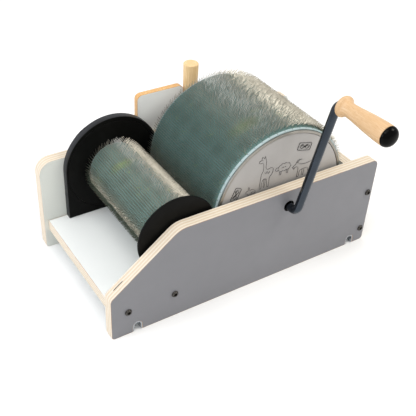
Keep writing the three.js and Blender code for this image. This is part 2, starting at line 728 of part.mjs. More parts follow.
// The card cloth, drawn out to the tips of its pins: a bare margin runs along each edge.
function cardSleeve(name, inner, clothR, tipR, near, far, margin, material) {
  return mesh(name, turned([
    [inner, far],
    [clothR, far],
    [clothR, far + margin],
    [tipR, far + margin],
    [tipR, near - margin],
    [clothR, near - margin],
    [clothR, near],
    [inner, near],
  ], 48), material);
}

function drum() {
  const group = axleGroup(DRUM_Y, AXLE_HEIGHT);
  const axleNear = OUTER - CRANK_HOLE_DEPTH - SEAT;
  const axleFar = HUB_FAR - AXLE_END;
  const pinX = axleNear - CRANK_SEAT + CROSS_PIN_INSET;
  const holeR = CROSS_PIN_R + FIT;
  const crossHole = new THREE.CylinderGeometry(holeR, holeR, 4 * SOCKET_R, 16);
  crossHole.rotateX(Math.PI / 2).translate(0, pinX, 0);
  const axle = cut(turned([
    [0, axleFar],
    [DRUM_AXLE_R - AXLE_CHAMFER, axleFar],
    [DRUM_AXLE_R, axleFar + AXLE_CHAMFER],
    [DRUM_AXLE_R, axleNear - SOCKET_LENGTH],
    [SOCKET_R, axleNear - SOCKET_LENGTH],
    [SOCKET_R, axleNear],
    [CRANK_ROD_R + FIT, axleNear],
    [CRANK_ROD_R + FIT, axleNear - CRANK_SEAT - SEAT],
    [0, axleNear - CRANK_SEAT - SEAT],
  ]), crossHole);
  const pin = new THREE.CylinderGeometry(CROSS_PIN_R, CROSS_PIN_R, 2 * (SOCKET_R - SEAT), 16);
  pin.rotateX(Math.PI / 2).translate(0, pinX, 0);
  const spacerFar = -INNER + BUSH_FLANGE_T + 3 * SEAT;
  group.add(
    mesh('drum_shell', turned(
      ring(SHELL_RADIUS - SHELL_WALL, SHELL_RADIUS, DRUM_FAR, NEAR_FACE), 48), aluminium),
    endDisc('drum_end_right', NEAR_FACE, 1, SOCKET_R),
    endDisc('drum_end_left', DRUM_FAR, -1, DRUM_AXLE_R),
    cardSleeve('drum_card_cloth', SHELL_RADIUS + SEAT, CLOTH_R, DRUM_TIP_R,
      NEAR_FACE - DRUM_CLOTH_INSET, DRUM_FAR + DRUM_CLOTH_INSET,
      DRUM_PIN_INSET - DRUM_CLOTH_INSET, cardCloth),
    mesh('drum_axle', axle, steel),
    mesh('drum_spacer', turned(
      ring(DRUM_AXLE_R + FIT, SPACER_R, spacerFar, DRUM_FAR + DISC_RECESS - SEAT)), nylon),
    mesh('crank_pin', pin, steel),
    ...pulley('drum_pulley', DRUM_PULLEY_R, DRUM_AXLE_R),
  );
  return [group, crankRod(axleNear - CRANK_SEAT, pinX)];
}

// The crank is one rod bent twice: out of the axle, up the arm, and out into the handle.
function crankRod(start, pinX) {
  const along = (x, r) => new THREE.Vector3(
    x, DRUM_Y + r * Math.cos(CRANK_TILT), AXLE_HEIGHT + r * Math.sin(CRANK_TILT));
  const bend = (sign, r) => Array.from({ length: 9 }, (_, i) => {
    const angle = (i / 8) * (Math.PI / 2);
    return sign > 0
      ? along(ARM_X - CRANK_BEND_R * (1 - Math.sin(angle)), CRANK_BEND_R * (1 - Math.cos(angle)))
      : along(ARM_X + CRANK_BEND_R * (1 - Math.cos(angle)), r - CRANK_BEND_R * (1 - Math.sin(angle)));
  });
  const end = HANDLE_END - CAP_PLUG_LENGTH - 2 * OVERRUN;
  const stations = [along(start, 0), ...bend(1, 0), ...bend(-1, CRANK_ARM), along(end, CRANK_ARM)];
  const rod = tubeThrough(stations, CRANK_ROD_R, 12);
  const crossHole = rodAlongZ(CROSS_PIN_R + FIT,
    AXLE_HEIGHT - SOCKET_R, AXLE_HEIGHT + SOCKET_R, pinX, DRUM_Y, 16);
  return mesh('crank_rod', cut(rod, crossHole), crankSteel);
}

// ---- Crank handle -------------------------------------------------------------------------
function handle() {
  const group = axleGroup(HANDLE_Y, HANDLE_Z);
  const bore = CRANK_ROD_R + RUN;
  const pocket = HANDLE_END - CAP_POCKET;
  const plugR = CAP_PLUG_R - FIT;
  const grip = turned([
    [bore, HANDLE_START + HANDLE_MOUTH],
    ...HANDLE_PROFILE.map(([r, x]) => [r, HANDLE_START + x]),
    [CAP_PLUG_R, HANDLE_END],
    [CAP_PLUG_R, pocket],
    [bore, pocket],
  ]);
  const cap = turned([
    ...CAP_PROFILE.map(([r, x]) => [r, HANDLE_END + x]),
    [plugR, HANDLE_END + SEAT],
    [plugR, HANDLE_END - CAP_PLUG_LENGTH],
    [plugR - CAP_PLUG_WALL, HANDLE_END - CAP_PLUG_LENGTH],
    [plugR - CAP_PLUG_WALL, HANDLE_END + SEAT],
    [0, HANDLE_END + SEAT],
  ]);
  const seated = pocket + SEAT;
  const clip = turned(ring(CRANK_ROD_R + FIT, RETAINER_R, seated, seated + RETAINER_T), 32);
  group.add(
    mesh('handle_grip', grip, beech),
    mesh('handle_cap', cap, blackPlastic),
    mesh('handle_retaining_ring', clip, steel),
  );
  return group;
}

// ---- Feed drum ----------------------------------------------------------------------------
function licker() {
  const group = axleGroup(LICKER_Y, AXLE_HEIGHT);
  const axleNear = INNER + BLIND_BUSH_DEPTH - 2 * OVERRUN;
  const axleFar = HUB_FAR - AXLE_END;
  const bore = LICKER_AXLE_R + FIT;
  group.add(
    mesh('licker_axle', turned([
      [0, axleFar],
      [LICKER_AXLE_R - AXLE_CHAMFER, axleFar],
      [LICKER_AXLE_R, axleFar + AXLE_CHAMFER],
      [LICKER_AXLE_R, axleNear],
      [0, axleNear],
    ]), steel),
    mesh('licker_core', turned(ring(bore, LICKER_CORE_R, CORE_FAR, CORE_NEAR)), beech),
    cardSleeve('licker_card_cloth', LICKER_CORE_R + SEAT, LICKER_CLOTH_R, LICKER_TIP_R,
      CORE_NEAR, CORE_FAR + FLANGE_PIN_GAP, FLANGE_PIN_GAP, feedCloth),
    mesh('licker_flange_right', turned([
      [bore, NEAR_FACE - FLANGE_T],
      [FLANGE_RADIUS - FLANGE_EDGE, NEAR_FACE - FLANGE_T],
      [FLANGE_RADIUS, NEAR_FACE - FLANGE_T + FLANGE_EDGE],
      [FLANGE_RADIUS, NEAR_FACE - FLANGE_EDGE],
      [FLANGE_RADIUS - FLANGE_EDGE, NEAR_FACE],
      [bore, NEAR_FACE],
    ], 48), blackPlastic),
    mesh('licker_flange_left', turned([
      [bore, FAR_FLANGE_BACK],
      [FAR_FLANGE_RADIUS, FAR_FLANGE_BACK],
      [FAR_FLANGE_RADIUS, FAR_FLANGE_FACE - FLANGE_EDGE / 2],
      [FAR_FLANGE_RADIUS - FLANGE_EDGE / 2, FAR_FLANGE_FACE],
      [bore, FAR_FLANGE_FACE],
    ], 48), blackPlastic),
    ...pulley('licker_pulley', LICKER_PULLEY_R, LICKER_AXLE_R),
  );
  return group;
}

// ---- Assembly -----------------------------------------------------------------------------
const carder = new THREE.Group();
carder.add(
  mesh('right_side_panel', rightSidePanel(), laminate),
  mesh('left_side_panel', leftSidePanel(), laminate),
  mesh('feed_tray', feedTray(), paleLaminate),
  mesh('rear_panel', rearPanel(), paleLaminate),
  ...frameScrews(),
  ...clampLiners(),
  ...bushes(),
  plainBush(),
  mesh('arch_plate', archPlate(), blackPlastic),
  ...archScrews(),
  mesh('guard_board', guardBoard(), paleLaminate),
  ...guardScrews(),
  ...battPick(),
  driveBand(),
  ...drum(),
  licker(),
  handle(),
);

// The origin is the bottom centre of the whole object's box.
const whole = new THREE.Group();
whole.add(carder);
whole.updateMatrixWorld(true);
const bounds = new THREE.Box3().setFromObject(carder, true);
const middle = bounds.getCenter(new THREE.Vector3());
carder.position.set(-middle.x, -middle.y, -bounds.min.z);
whole.updateMatrixWorld(true);

export default whole;
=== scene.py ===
"""A hand-cranked drum carder: two pin-covered drums between laminated plywood side panels.

Metres, +Z up, +X the crank side, -Y the feed side. Sizes that are fields of a class are in metres
too, written as a number of millimetres times MM. Places come from the CAD nodes' boxes.
"""

import logging
import math
from dataclasses import dataclass, field
from enum import Enum
from typing import NamedTuple, Sequence

import bmesh
import bpy
from mathutils import Matrix, Vector


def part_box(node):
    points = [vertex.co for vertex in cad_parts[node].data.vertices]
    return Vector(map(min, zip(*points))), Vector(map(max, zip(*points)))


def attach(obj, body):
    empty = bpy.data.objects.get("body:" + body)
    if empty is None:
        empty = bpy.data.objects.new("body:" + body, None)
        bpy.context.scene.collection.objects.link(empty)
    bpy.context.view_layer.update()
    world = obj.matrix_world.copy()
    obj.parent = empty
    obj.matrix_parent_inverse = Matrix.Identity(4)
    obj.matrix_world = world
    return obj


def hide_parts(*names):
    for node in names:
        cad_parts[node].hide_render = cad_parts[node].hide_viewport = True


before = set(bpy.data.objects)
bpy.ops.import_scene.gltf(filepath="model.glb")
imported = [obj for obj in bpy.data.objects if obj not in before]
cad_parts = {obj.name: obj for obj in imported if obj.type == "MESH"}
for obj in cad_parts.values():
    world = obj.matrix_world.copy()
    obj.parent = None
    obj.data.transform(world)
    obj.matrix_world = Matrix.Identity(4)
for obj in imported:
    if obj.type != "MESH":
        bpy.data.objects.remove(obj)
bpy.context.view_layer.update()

MM = 0.001
SMOOTH_ANGLE = math.radians(32)
FLAT_FACE = 0.98  # how squarely a face must look along an axis to count as a board's flat side
WAVE_BANDS = 20  # what a wave texture multiplies its scale by

log = logging.getLogger("carder")

Point2 = tuple[float, float]
Corner = tuple[float, float, float]


# ---- Named options -------------------------------------------------------------------------
class Axis(Enum):
    """An axis of the model, as the index of its coordinate."""

    X = 0
    Y = 1
    Z = 2


class Body(Enum):
    """The bodies that pieces ride on."""

    FRAME = "frame"
    DRUM = "drum"
    LICKER = "licker"
    HANDLE = "handle"
    PICK = "pick"


class Slot(Enum):
    """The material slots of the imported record."""

    LAMINATE = "laminate"
    PALE_LAMINATE = "pale_laminate"
    BEECH = "beech"
    PICK_WOOD = "pick_wood"
    DRUM_END = "drum_end"
    BLACK_PLASTIC = "black_plastic"
    GLOSS_BLACK = "gloss_black"
    DRUM_CLOTH = "drum_cloth"
    LICKER_CLOTH = "licker_cloth"
    BAND = "band"
    STEEL = "steel"
    CRANK_STEEL = "crank_steel"
    DRUM_TUBE = "drum_tube"


class Coordinates(Enum):
    """What a finish's pattern is laid out on."""

    OBJECT = "Object"
    SURFACE = "UV"


# ---- Node helper ---------------------------------------------------------------------------
def node(tree: bpy.types.NodeTree, kind: str, inputs: dict | None = None, **settings) -> bpy.types.Node:
    """Adds a node to a tree, with its settings and links.

    Args:
        tree: The shader or geometry tree that gets the node.
        kind: The node's Blender type name.
        inputs: Values or output sockets by input name or index.
        **settings: Attributes of the node. `stops` is a colour ramp's list of (place, colour).

    Returns:
        The new node.
    """
    made = tree.nodes.new(kind)
    stops = settings.pop("stops", None)
    for key, value in settings.items():
        setattr(made, key, value)
    if stops:
        elements = made.color_ramp.elements
        while len(elements) < len(stops):
            elements.new(1.0)
        for element, (place, colour) in zip(elements, stops):
            element.position = place
            element.color = colour
    for key, value in (inputs or {}).items():
        if isinstance(value, bpy.types.NodeSocket):
            tree.links.new(value, made.inputs[key])
        else:
            made.inputs[key].default_value = value
    return made


def linear(code: str) -> tuple[float, float, float, float]:
    """Turns an sRGB hex colour into a linear one.

    Args:
        code: Six hex digits after a hash.

    Returns:
        Red, green, blue and an alpha of 1.
    """
    parts = (int(code[i : i + 2], 16) / 255 for i in (1, 3, 5))
    shades = (c / 12.92 if c <= 0.04045 else ((c + 0.055) / 1.055) ** 2.4 for c in parts)
    return (*shades, 1.0)


def per_metre(size: float) -> float:
    """The scale of a texture whose features are this size."""
    return 1.0 / size


# ---- Finishes ------------------------------------------------------------------------------
class Look(NamedTuple):
    """What a finish's pattern gives its shader: three sockets, and how deep its relief is."""

    colour: bpy.types.NodeSocket
    roughness: bpy.types.NodeSocket
    height: bpy.types.NodeSocket
    relief: float


@dataclass(frozen=True)
class Finish:
    """One real material with the surface that its making left."""

    name: str
    roughness: float
    metallic: float = 0.0
    ior: float = 1.5
    specular: float = 0.5
    coat: float = 0.0
    coordinates: Coordinates = Coordinates.OBJECT

    def make(self) -> bpy.types.Material:
        """Builds the material the first time, and gives it back after that.

        Returns:
            The Blender material.
        """
        known = bpy.data.materials.get(self.name)
        if known:
            return known
        material = bpy.data.materials.new(self.name)
        material.use_nodes = True
        tree = material.node_tree
        tree.nodes.clear()
        place = node(tree, "ShaderNodeTexCoord").outputs[self.coordinates.value]
        look = self.pattern(tree, place)
        bump = node(tree, "ShaderNodeBump", {"Height": look.height, "Distance": look.relief, "Strength": 1.0})
        shader = node(tree, "ShaderNodeBsdfPrincipled", {
            "Base Color": look.colour,
            "Roughness": look.roughness,
            "Normal": bump.outputs["Normal"],
            "Metallic": self.metallic,
            "IOR": self.ior,
            "Specular IOR Level": self.specular,
            "Coat Weight": self.coat,
        })
        node(tree, "ShaderNodeOutputMaterial", {"Surface": shader.outputs["BSDF"]})
        return material

    def pattern(self, tree: bpy.types.NodeTree, place: bpy.types.NodeSocket) -> Look:
        """Lays out the pattern that makes this finish what it is."""
        raise NotImplementedError

    def worn(self, tree: bpy.types.NodeTree, place: bpy.types.NodeSocket, size: float,
             spread: float) -> bpy.types.NodeSocket:
        """Roughness that wanders around the finish's own, as handling and dust leave it.

        Args:
            tree: The material's tree.
            place: Coordinates of the pattern.
            size: Size of the patches.
            spread: How far the roughness goes either way.

        Returns:
            The roughness socket.
        """
        patches = node(tree, "ShaderNodeTexNoise", {"Vector": place, "Scale": per_metre(size), "Detail": 4.0})
        return node(tree, "ShaderNodeMapRange", {
            "Value": patches.outputs["Fac"],
            "From Min": 0.3,
            "From Max": 0.7,
            "To Min": self.roughness - spread,
            "To Max": self.roughness + spread,
        }).outputs["Result"]


@dataclass(frozen=True)
class Laminate(Finish):
    """Melamine film pressed on birch plywood: an even satin sheet with a faint pebble."""

    colour: str = "#a0a0a2"
    cloud: str = "#98989b"
    pebble: float = 0.9 * MM
    cloud_size: float = 60 * MM
    wear_size: float = 22 * MM
    relief: float = 0.03 * MM

    def pattern(self, tree: bpy.types.NodeTree, place: bpy.types.NodeSocket) -> Look:
        """Soft clouds of tone under a pressed pebble.

        Args:
            tree: The material's tree.
            place: Coordinates of the pattern.

        Returns:
            The finish's look.
        """
        clouds = node(tree, "ShaderNodeTexNoise", {
            "Vector": place, "Scale": per_metre(self.cloud_size), "Detail": 5.0, "Roughness": 0.55,
        })
        colour = node(tree, "ShaderNodeMix", {
            0: clouds.outputs["Fac"], 6: linear(self.colour), 7: linear(self.cloud),
        }, data_type="RGBA")
        pebble = node(tree, "ShaderNodeTexNoise", {
            "Vector": place, "Scale": per_metre(self.pebble), "Detail": 2.0,
        })
        rough = self.worn(tree, place, self.wear_size, 0.05)
        return Look(colour.outputs[2], rough, pebble.outputs["Fac"], self.relief)


@dataclass(frozen=True)
class PlyEdge(Finish):
    """The sanded edge of birch plywood: long-grain and end-grain plies with glue lines between."""

    across: Axis = Axis.X
    start: float = 0.0
    thickness: float = 16.5 * MM
    plies: int = 7
    long_grain: str = "#e4dac8"
    end_grain: str = "#d8c5ab"
    glue: str = "#cbb08c"
    film: str = "#b9906a"
    glue_width: float = 0.012
    film_width: float = 0.035
    waver: float = 18 * MM
    waver_share: float = 0.07
    grain: float = 5 * MM
    squeeze: float = 9.0
    wear_size: float = 9 * MM
    relief: float = 0.12 * MM

    def stops(self) -> list[tuple[float, tuple]]:
        """The plies' colours across the board's thickness.

        Returns:
            Places from 0 to 1, each with its colour.
        """
        made = [(0.0, linear(self.film)), (self.film_width, linear(self.long_grain))]
        for i in range(1, self.plies):
            edge = i / self.plies
            before, after = (self.long_grain, self.end_grain) if i % 2 else (self.end_grain, self.long_grain)
            made.append((edge - self.glue_width, linear(before)))
            made.append((edge, linear(self.glue if i % 2 else after)))
            made.append((edge + self.glue_width, linear(after)))
        made.append((1 - self.film_width, linear(self.long_grain)))
        made.append((1.0, linear(self.film)))
        return made

    def pattern(self, tree: bpy.types.NodeTree, place: bpy.types.NodeSocket) -> Look:
        """Plies across the thickness, wavering a little, with streaks of grain along them.

        Args:
            tree: The material's tree.
            place: Coordinates of the pattern.

        Returns:
            The finish's look.
        """
        apart = node(tree, "ShaderNodeSeparateXYZ", {"Vector": place})
        depth = node(tree, "ShaderNodeMapRange", {
            "Value": apart.outputs[self.across.value],
            "From Min": self.start, "From Max": self.start + self.thickness,
        })
        waver = node(tree, "ShaderNodeTexNoise", {
            "Vector": place, "Scale": per_metre(self.waver), "Detail": 3.0,
        })
        centred = node(tree, "ShaderNodeMath", {0: waver.outputs["Fac"], 1: 0.5}, operation="SUBTRACT")
        shifted = node(tree, "ShaderNodeMath", {
            0: centred.outputs[0], 1: self.waver_share, 2: depth.outputs["Result"],
        }, operation="MULTIPLY_ADD")
        plies = node(tree, "ShaderNodeValToRGB", {"Fac": shifted.outputs[0]}, stops=self.stops())
        squeeze = [1.0, 1.0, 1.0]
        squeeze[self.across.value] = self.squeeze
        streaks = node(tree, "ShaderNodeTexNoise", {
            "Vector": node(tree, "ShaderNodeMapping", {"Vector": place, "Scale": squeeze}).outputs[0],
            "Scale": per_metre(self.grain), "Detail": 6.0, "Roughness": 0.7,
        })
        shade = node(tree, "ShaderNodeMapRange", {
            "Value": streaks.outputs["Fac"], "From Min": 0.3, "From Max": 0.72,
            "To Min": 0.86, "To Max": 1.03,
        })
        colour = node(tree, "ShaderNodeMix", {
            0: 1.0, 6: plies.outputs["Color"], 7: shade.outputs["Result"],
        }, data_type="RGBA", blend_type="MULTIPLY")
        rough = self.worn(tree, place, self.wear_size, 0.06)
        return Look(colour.outputs[2], rough, streaks.outputs["Fac"], self.relief)


@dataclass(frozen=True)
class Wood(Finish):
    """Turned or planed wood, oiled: long growth streaks, with short dark pores along the grain."""

    grain: Axis = Axis.X
    early: str = "#e9bd83"
    late: str = "#d59d5f"
    pore: str = "#9a6534"
    streak: float = 3.5 * MM
    pores: float = 0.55
    pore_size: float = 0.7 * MM
    draw: float = 0.07
    wear_size: float = 14 * MM
    relief: float = 0.08 * MM

    def pattern(self, tree: bpy.types.NodeTree, place: bpy.types.NodeSocket) -> Look:
        """Streaks and pores drawn out along the grain.

        Args:
            tree: The material's tree.
            place: Coordinates of the pattern.

        Returns:
            The finish's look.
        """
        stretch = [1.0, 1.0, 1.0]
        stretch[self.grain.value] = self.draw
        drawn = node(tree, "ShaderNodeMapping", {"Vector": place, "Scale": stretch}).outputs[0]
        growth = node(tree, "ShaderNodeTexNoise", {
            "Vector": drawn, "Scale": per_metre(self.streak), "Detail": 5.0, "Roughness": 0.6,
            "Distortion": 0.4,
        })
        wood = node(tree, "ShaderNodeValToRGB", {"Fac": growth.outputs["Fac"]}, stops=[
            (0.32, linear(self.early)), (0.52, linear(self.late)), (0.7, linear(self.early)),
        ])
        fine = node(tree, "ShaderNodeTexNoise", {
            "Vector": drawn, "Scale": per_metre(self.pore_size), "Detail": 2.0,
        })
        flecks = node(tree, "ShaderNodeMapRange", {
            "Value": fine.outputs["Fac"], "From Min": self.pores, "From Max": self.pores + 0.12,
            "To Min": 0.0, "To Max": 0.55,
        })
        colour = node(tree, "ShaderNodeMix", {
            0: flecks.outputs["Result"], 6: wood.outputs["Color"], 7: linear(self.pore),
        }, data_type="RGBA")
        sunk = node(tree, "ShaderNodeMath", {0: 1.0, 1: flecks.outputs["Result"]}, operation="SUBTRACT")
        rough = self.worn(tree, place, self.wear_size, 0.07)
        return Look(colour.outputs[2], rough, sunk.outputs[0], self.relief)


@dataclass(frozen=True)
class Plastic(Finish):
    """Moulded or machined plastic: one colour with a spark-eroded grain and dusty patches."""

    colour: str = "#161616"
    dust: str = "#2c2c2b"
    grit: float = 0.5 * MM
    relief: float = 0.02 * MM
    spread: float = 0.07
    patch: float = 26 * MM
    wear_size: float = 20 * MM

    def pattern(self, tree: bpy.types.NodeTree, place: bpy.types.NodeSocket) -> Look:
        """A fine grain, with dust where it gathers.

        Args:
            tree: The material's tree.
            place: Coordinates of the pattern.

        Returns:
            The finish's look.
        """
        patches = node(tree, "ShaderNodeTexNoise", {
            "Vector": place, "Scale": per_metre(self.patch), "Detail": 8.0, "Roughness": 0.65,
        })
        amount = node(tree, "ShaderNodeMapRange", {
            "Value": patches.outputs["Fac"], "From Min": 0.48, "From Max": 0.8, "To Min": 0.0, "To Max": 0.7,
        })
        colour = node(tree, "ShaderNodeMix", {
            0: amount.outputs["Result"], 6: linear(self.colour), 7: linear(self.dust),
        }, data_type="RGBA")
        grain = node(tree, "ShaderNodeTexNoise", {
            "Vector": place, "Scale": per_metre(self.grit), "Detail": 2.0,
        })
        rough = self.worn(tree, place, self.wear_size, self.spread)
        return Look(colour.outputs[2], rough, grain.outputs["Fac"], self.relief)


@dataclass(frozen=True)
class SawnPlastic(Finish):
    """The milled edge of a plastic sheet: paler than its face, with fine tool lines round it."""

    across: Axis = Axis.X
    colour: str = "#1d1d1f"
    line: str = "#2f3033"
    pitch: float = 2.1 * MM
    wear_size: float = 10 * MM
    relief: float = 0.05 * MM

    def pattern(self, tree: bpy.types.NodeTree, place: bpy.types.NodeSocket) -> Look:
        """Tool lines a pitch apart across the sheet's thickness.

        Args:
            tree: The material's tree.
            place: Coordinates of the pattern.

        Returns:
            The finish's look.
        """
        lines = node(tree, "ShaderNodeTexWave", {
            "Vector": place, "Scale": per_metre(self.pitch) / WAVE_BANDS, "Distortion": 1.5,
            "Detail": 2.0, "Detail Scale": 1.5,
        }, bands_direction=self.across.name)
        colour = node(tree, "ShaderNodeMix", {
            0: lines.outputs["Fac"], 6: linear(self.colour), 7: linear(self.line),
        }, data_type="RGBA")
        rough = self.worn(tree, place, self.wear_size, 0.06)
        return Look(colour.outputs[2], rough, lines.outputs["Fac"], self.relief)


@dataclass(frozen=True)
class Metal(Finish):
    """Bare, plated or blued metal, with the lines that drawing or turning left and a little tarnish."""

    metallic: float = 1.0
    colour: str = "#b9bcc0"
    tarnish: str = "#8f9296"
    along: Axis = Axis.X
    line: float = 0.35 * MM
    relief: float = 0.01 * MM
    patch: float = 12 * MM
    draw: float = 0.05
    wear_size: float = 6 * MM

    def pattern(self, tree: bpy.types.NodeTree, place: bpy.types.NodeSocket) -> Look:
        """Drawn lines along one axis over patches of tarnish.

        Args:
            tree: The material's tree.
            place: Coordinates of the pattern.

        Returns:
            The finish's look.
        """
        patches = node(tree, "ShaderNodeTexNoise", {
            "Vector": place, "Scale": per_metre(self.patch), "Detail": 6.0, "Roughness": 0.6,
        })
        colour = node(tree, "ShaderNodeMix", {
            0: patches.outputs["Fac"], 6: linear(self.colour), 7: linear(self.tarnish),
        }, data_type="RGBA")
        stretch = [1.0, 1.0, 1.0]
        stretch[self.along.value] = self.draw
        lines = node(tree, "ShaderNodeTexNoise", {
            "Vector": node(tree, "ShaderNodeMapping", {"Vector": place, "Scale": stretch}).outputs[0],
            "Scale": per_metre(self.line), "Detail": 3.0,
        })
        rough = self.worn(tree, place, self.wear_size, 0.06)
        return Look(colour.outputs[2], rough, lines.outputs["Fac"], self.relief)


@dataclass(frozen=True)
class CardFoundation(Finish):
    """The woven foundation that card wire is set in: a rubber-faced cloth with fibre caught in it."""

    coordinates: Coordinates = Coordinates.SURFACE
    colour: str = "#4f8d88"
    faded: str = "#6ea39d"
    fibre: str = "#8fae58"
    fibre_share: float = 0.62
    thread: float = 4.4 * MM
    wisps: tuple[Point2, ...] = ()
    wisp_size: Point2 = (8 * MM, 30 * MM)
    wisp_share: float = 0.58
    fray: float = 9 * MM
    fray_reach: float = 7 * MM
    fading_size: float = 38 * MM
    tuft_size: float = 27 * MM
    wear_size: float = 12 * MM
    relief: float = 0.15 * MM

    def pattern(self, tree: bpy.types.NodeTree, place: bpy.types.NodeSocket) -> Look:
        """A plain weave with faded patches and a few tufts of coloured fibre.

        The real threads are 0.4 mm apart, and are drawn 4.4 mm apart so that the weave shows.

        Args:
            tree: The material's tree.
            place: Coordinates of the pattern.

        Returns:
            The finish's look.
        """
        fading = node(tree, "ShaderNodeTexNoise", {
            "Vector": place, "Scale": per_metre(self.fading_size), "Detail": 5.0, "Roughness": 0.6,
        })
        cloth = node(tree, "ShaderNodeMix", {
            0: fading.outputs["Fac"], 6: linear(self.colour), 7: linear(self.faded),
        }, data_type="RGBA")
        tufts = node(tree, "ShaderNodeTexNoise", {
            "Vector": place, "Scale": per_metre(self.tuft_size), "Detail": 6.0, "Roughness": 0.7,
            "Distortion": 0.8,
        })
        caught = node(tree, "ShaderNodeMapRange", {
            "Value": tufts.outputs["Fac"],
            "From Min": self.fibre_share, "From Max": self.fibre_share + 0.12,
            "To Min": 0.0, "To Max": 0.8,
        })
        share = caught.outputs["Result"]
        for wisp in self.wisps:
            share = node(tree, "ShaderNodeMath", {0: share, 1: self.wisp(tree, place, wisp)},
                         operation="MAXIMUM").outputs[0]
        colour = node(tree, "ShaderNodeMix", {0: share, 6: cloth.outputs[2], 7: linear(self.fibre)},
                      data_type="RGBA")
        waves = [
            node(tree, "ShaderNodeTexWave", {
                "Vector": place, "Scale": per_metre(self.thread) / WAVE_BANDS, "Distortion": 0.3,
            }, bands_direction=direction).outputs["Fac"]
            for direction in ("X", "Y")
        ]
        weave = node(tree, "ShaderNodeMath", {0: waves[0], 1: waves[1]}, operation="MAXIMUM")
        gaps = node(tree, "ShaderNodeMapRange", {
            "Value": weave.outputs[0], "From Min": 0.2, "From Max": 0.95, "To Min": 0.86, "To Max": 1.05,
        })
        woven = node(tree, "ShaderNodeMix", {
            0: 1.0, 6: colour.outputs[2], 7: gaps.outputs["Result"],
        }, data_type="RGBA", blend_type="MULTIPLY")
        rough = self.worn(tree, place, self.wear_size, 0.05)
        return Look(woven.outputs[2], rough, weave.outputs[0], self.relief)

    def wisp(self, tree: bpy.types.NodeTree, place: bpy.types.NodeSocket,
             spot: Point2) -> bpy.types.NodeSocket:
        """A wisp of wool left in the pins, frayed at its edges.

        Args:
            tree: The material's tree.
            place: Coordinates of the pattern.
            spot: Its middle, as the distance round the drum and the place along its axis.

        Returns:
            How much of it there is.
        """
        reach = self.fray_reach
        ragged = node(tree, "ShaderNodeTexNoise", {
            "Vector": place, "Scale": per_metre(self.fray), "Detail": 5.0,
        })
        pushed = node(tree, "ShaderNodeVectorMath", {
            0: ragged.outputs["Color"], 1: (2 * reach, 2 * reach, 0.0), 2: (-reach, -reach, 0.0),
        }, operation="MULTIPLY_ADD")
        moved = node(tree, "ShaderNodeVectorMath", {0: place, 1: pushed.outputs[0]}, operation="ADD")
        centred = node(tree, "ShaderNodeVectorMath", {
            0: moved.outputs[0], 1: (*spot, 0.0),
        }, operation="SUBTRACT")
        rounded = node(tree, "ShaderNodeVectorMath", {
            0: centred.outputs[0], 1: (1 / self.wisp_size[0], 1 / self.wisp_size[1], 0.0),
        }, operation="MULTIPLY")
        away = node(tree, "ShaderNodeVectorMath", {0: rounded.outputs[0]}, operation="LENGTH")
        return node(tree, "ShaderNodeMapRange", {
            "Value": away.outputs["Value"], "From Min": 0.0, "From Max": 1.0,
            "To Min": self.wisp_share, "To Max": 0.0,
        }).outputs["Result"]


# ---- The finishes of this machine ----------------------------------------------------------
# Melamine film on the outside of the panels: mid grey, satin, an even field with soft reflections.
GREY_FILM = Laminate("grey melamine film, pressed", 0.46, colour="#7c7c80", cloud="#757579")
# The paler film on the inner faces: almost white, takes the drums' tint softly.
PALE_FILM = Laminate("pale melamine film, pressed", 0.5, colour="#dfe1da", cloud="#d6d9d3")
# White film on the tray, smooth so that wool slides in, and on the guard: the brightest faces.
WHITE_FILM = Laminate("white melamine film, pressed", 0.42, colour="#f6f7f4", cloud="#f0f2ef")
# Thin solid lipping round the guard board, lacquered: a warm golden line.
LIPPING = Wood("pine lipping, lacquered", 0.45, grain=Axis.Z, early="#e6c08a", late="#d3a062",
               pore="#b0793d")
# Beech turned on a lathe and oiled: warm tan with short dark flecks along the handle.
BEECH = Wood("beech, turned and oiled", 0.42, grain=Axis.X, early="#d9b991", late="#cda77a", pore="#ad7c4d",
             pores=0.6)
# A planed softwood dowel, bare: pale yellow with long faint streaks up its length.
DOWEL = Wood("softwood dowel, planed", 0.6, grain=Axis.Z, early="#ecd0a1", late="#dab985", pore="#bf9661",
             pores=0.66)
# Black polyethylene sheet: deep black with a broad soft sheen.
BLACK_SHEET = Plastic("black polyethylene sheet, planed", 0.4, specular=0.06, colour="#0f0f0e",
                      dust="#191918")
# The milled edge of that sheet: dark with tool lines. The same finish colours the crank's hole, its wall and
# a thin ring round it, as painted shade in the hole.
BLACK_EDGE_AND_HOLE_SHADE = SawnPlastic("black polyethylene, milled edge", 0.45, specular=0.2)
# The handle's end cap: polished black plastic, a hard small highlight.
GLOSS_CAP = Plastic("black polystyrene, polished", 0.08, ior=1.59, specular=0.05, colour="#030303",
                    dust="#070707", grit=3 * MM, relief=0.01 * MM, spread=0.04)
# Turned nylon bushes: milky white, slightly waxy.
NYLON = Plastic("nylon, turned", 0.4, ior=1.53, colour="#e8e6dd", dust="#d6d2c5")
# The end discs: light grey coated fibreboard, matt, a shade mottled.
PRINTED_BOARD = Laminate("grey coated fibreboard", 0.55, colour="#b2afac", cloud="#9c9996",
                         cloud_size=35 * MM)
# Printing ink: flat black, a trace of the board's grain in it.
INK = Plastic("black printing ink", 0.6, colour="#121112", dust="#1f1e20", grit=0.8 * MM)
# Aluminium tube, cut and filed: its end is a thin bright ring.
TUBE = Metal("aluminium tube, filed", 0.38, colour="#a5a19a", tarnish="#8a867f")
# Zinc-plated steel: bright and bluish, with duller patches.
ZINC = Metal("zinc plated steel", 0.26, colour="#c3c7cc", tarnish="#989da3", patch=4 * MM)
# Blackened screw heads: dark and shiny, a small bright crescent on each.
BLACK_ZINC = Metal("black zinc plated steel", 0.22, colour="#5a5753", tarnish="#3b3936", patch=4 * MM)
# Blued and oiled steel rod: blue-black, with long soft highlights down the bar.
BLUED = Metal("blued steel rod, drawn", 0.18, coat=0.5, colour="#39424d", tarnish="#20252b",
              along=Axis.Z, patch=25 * MM)
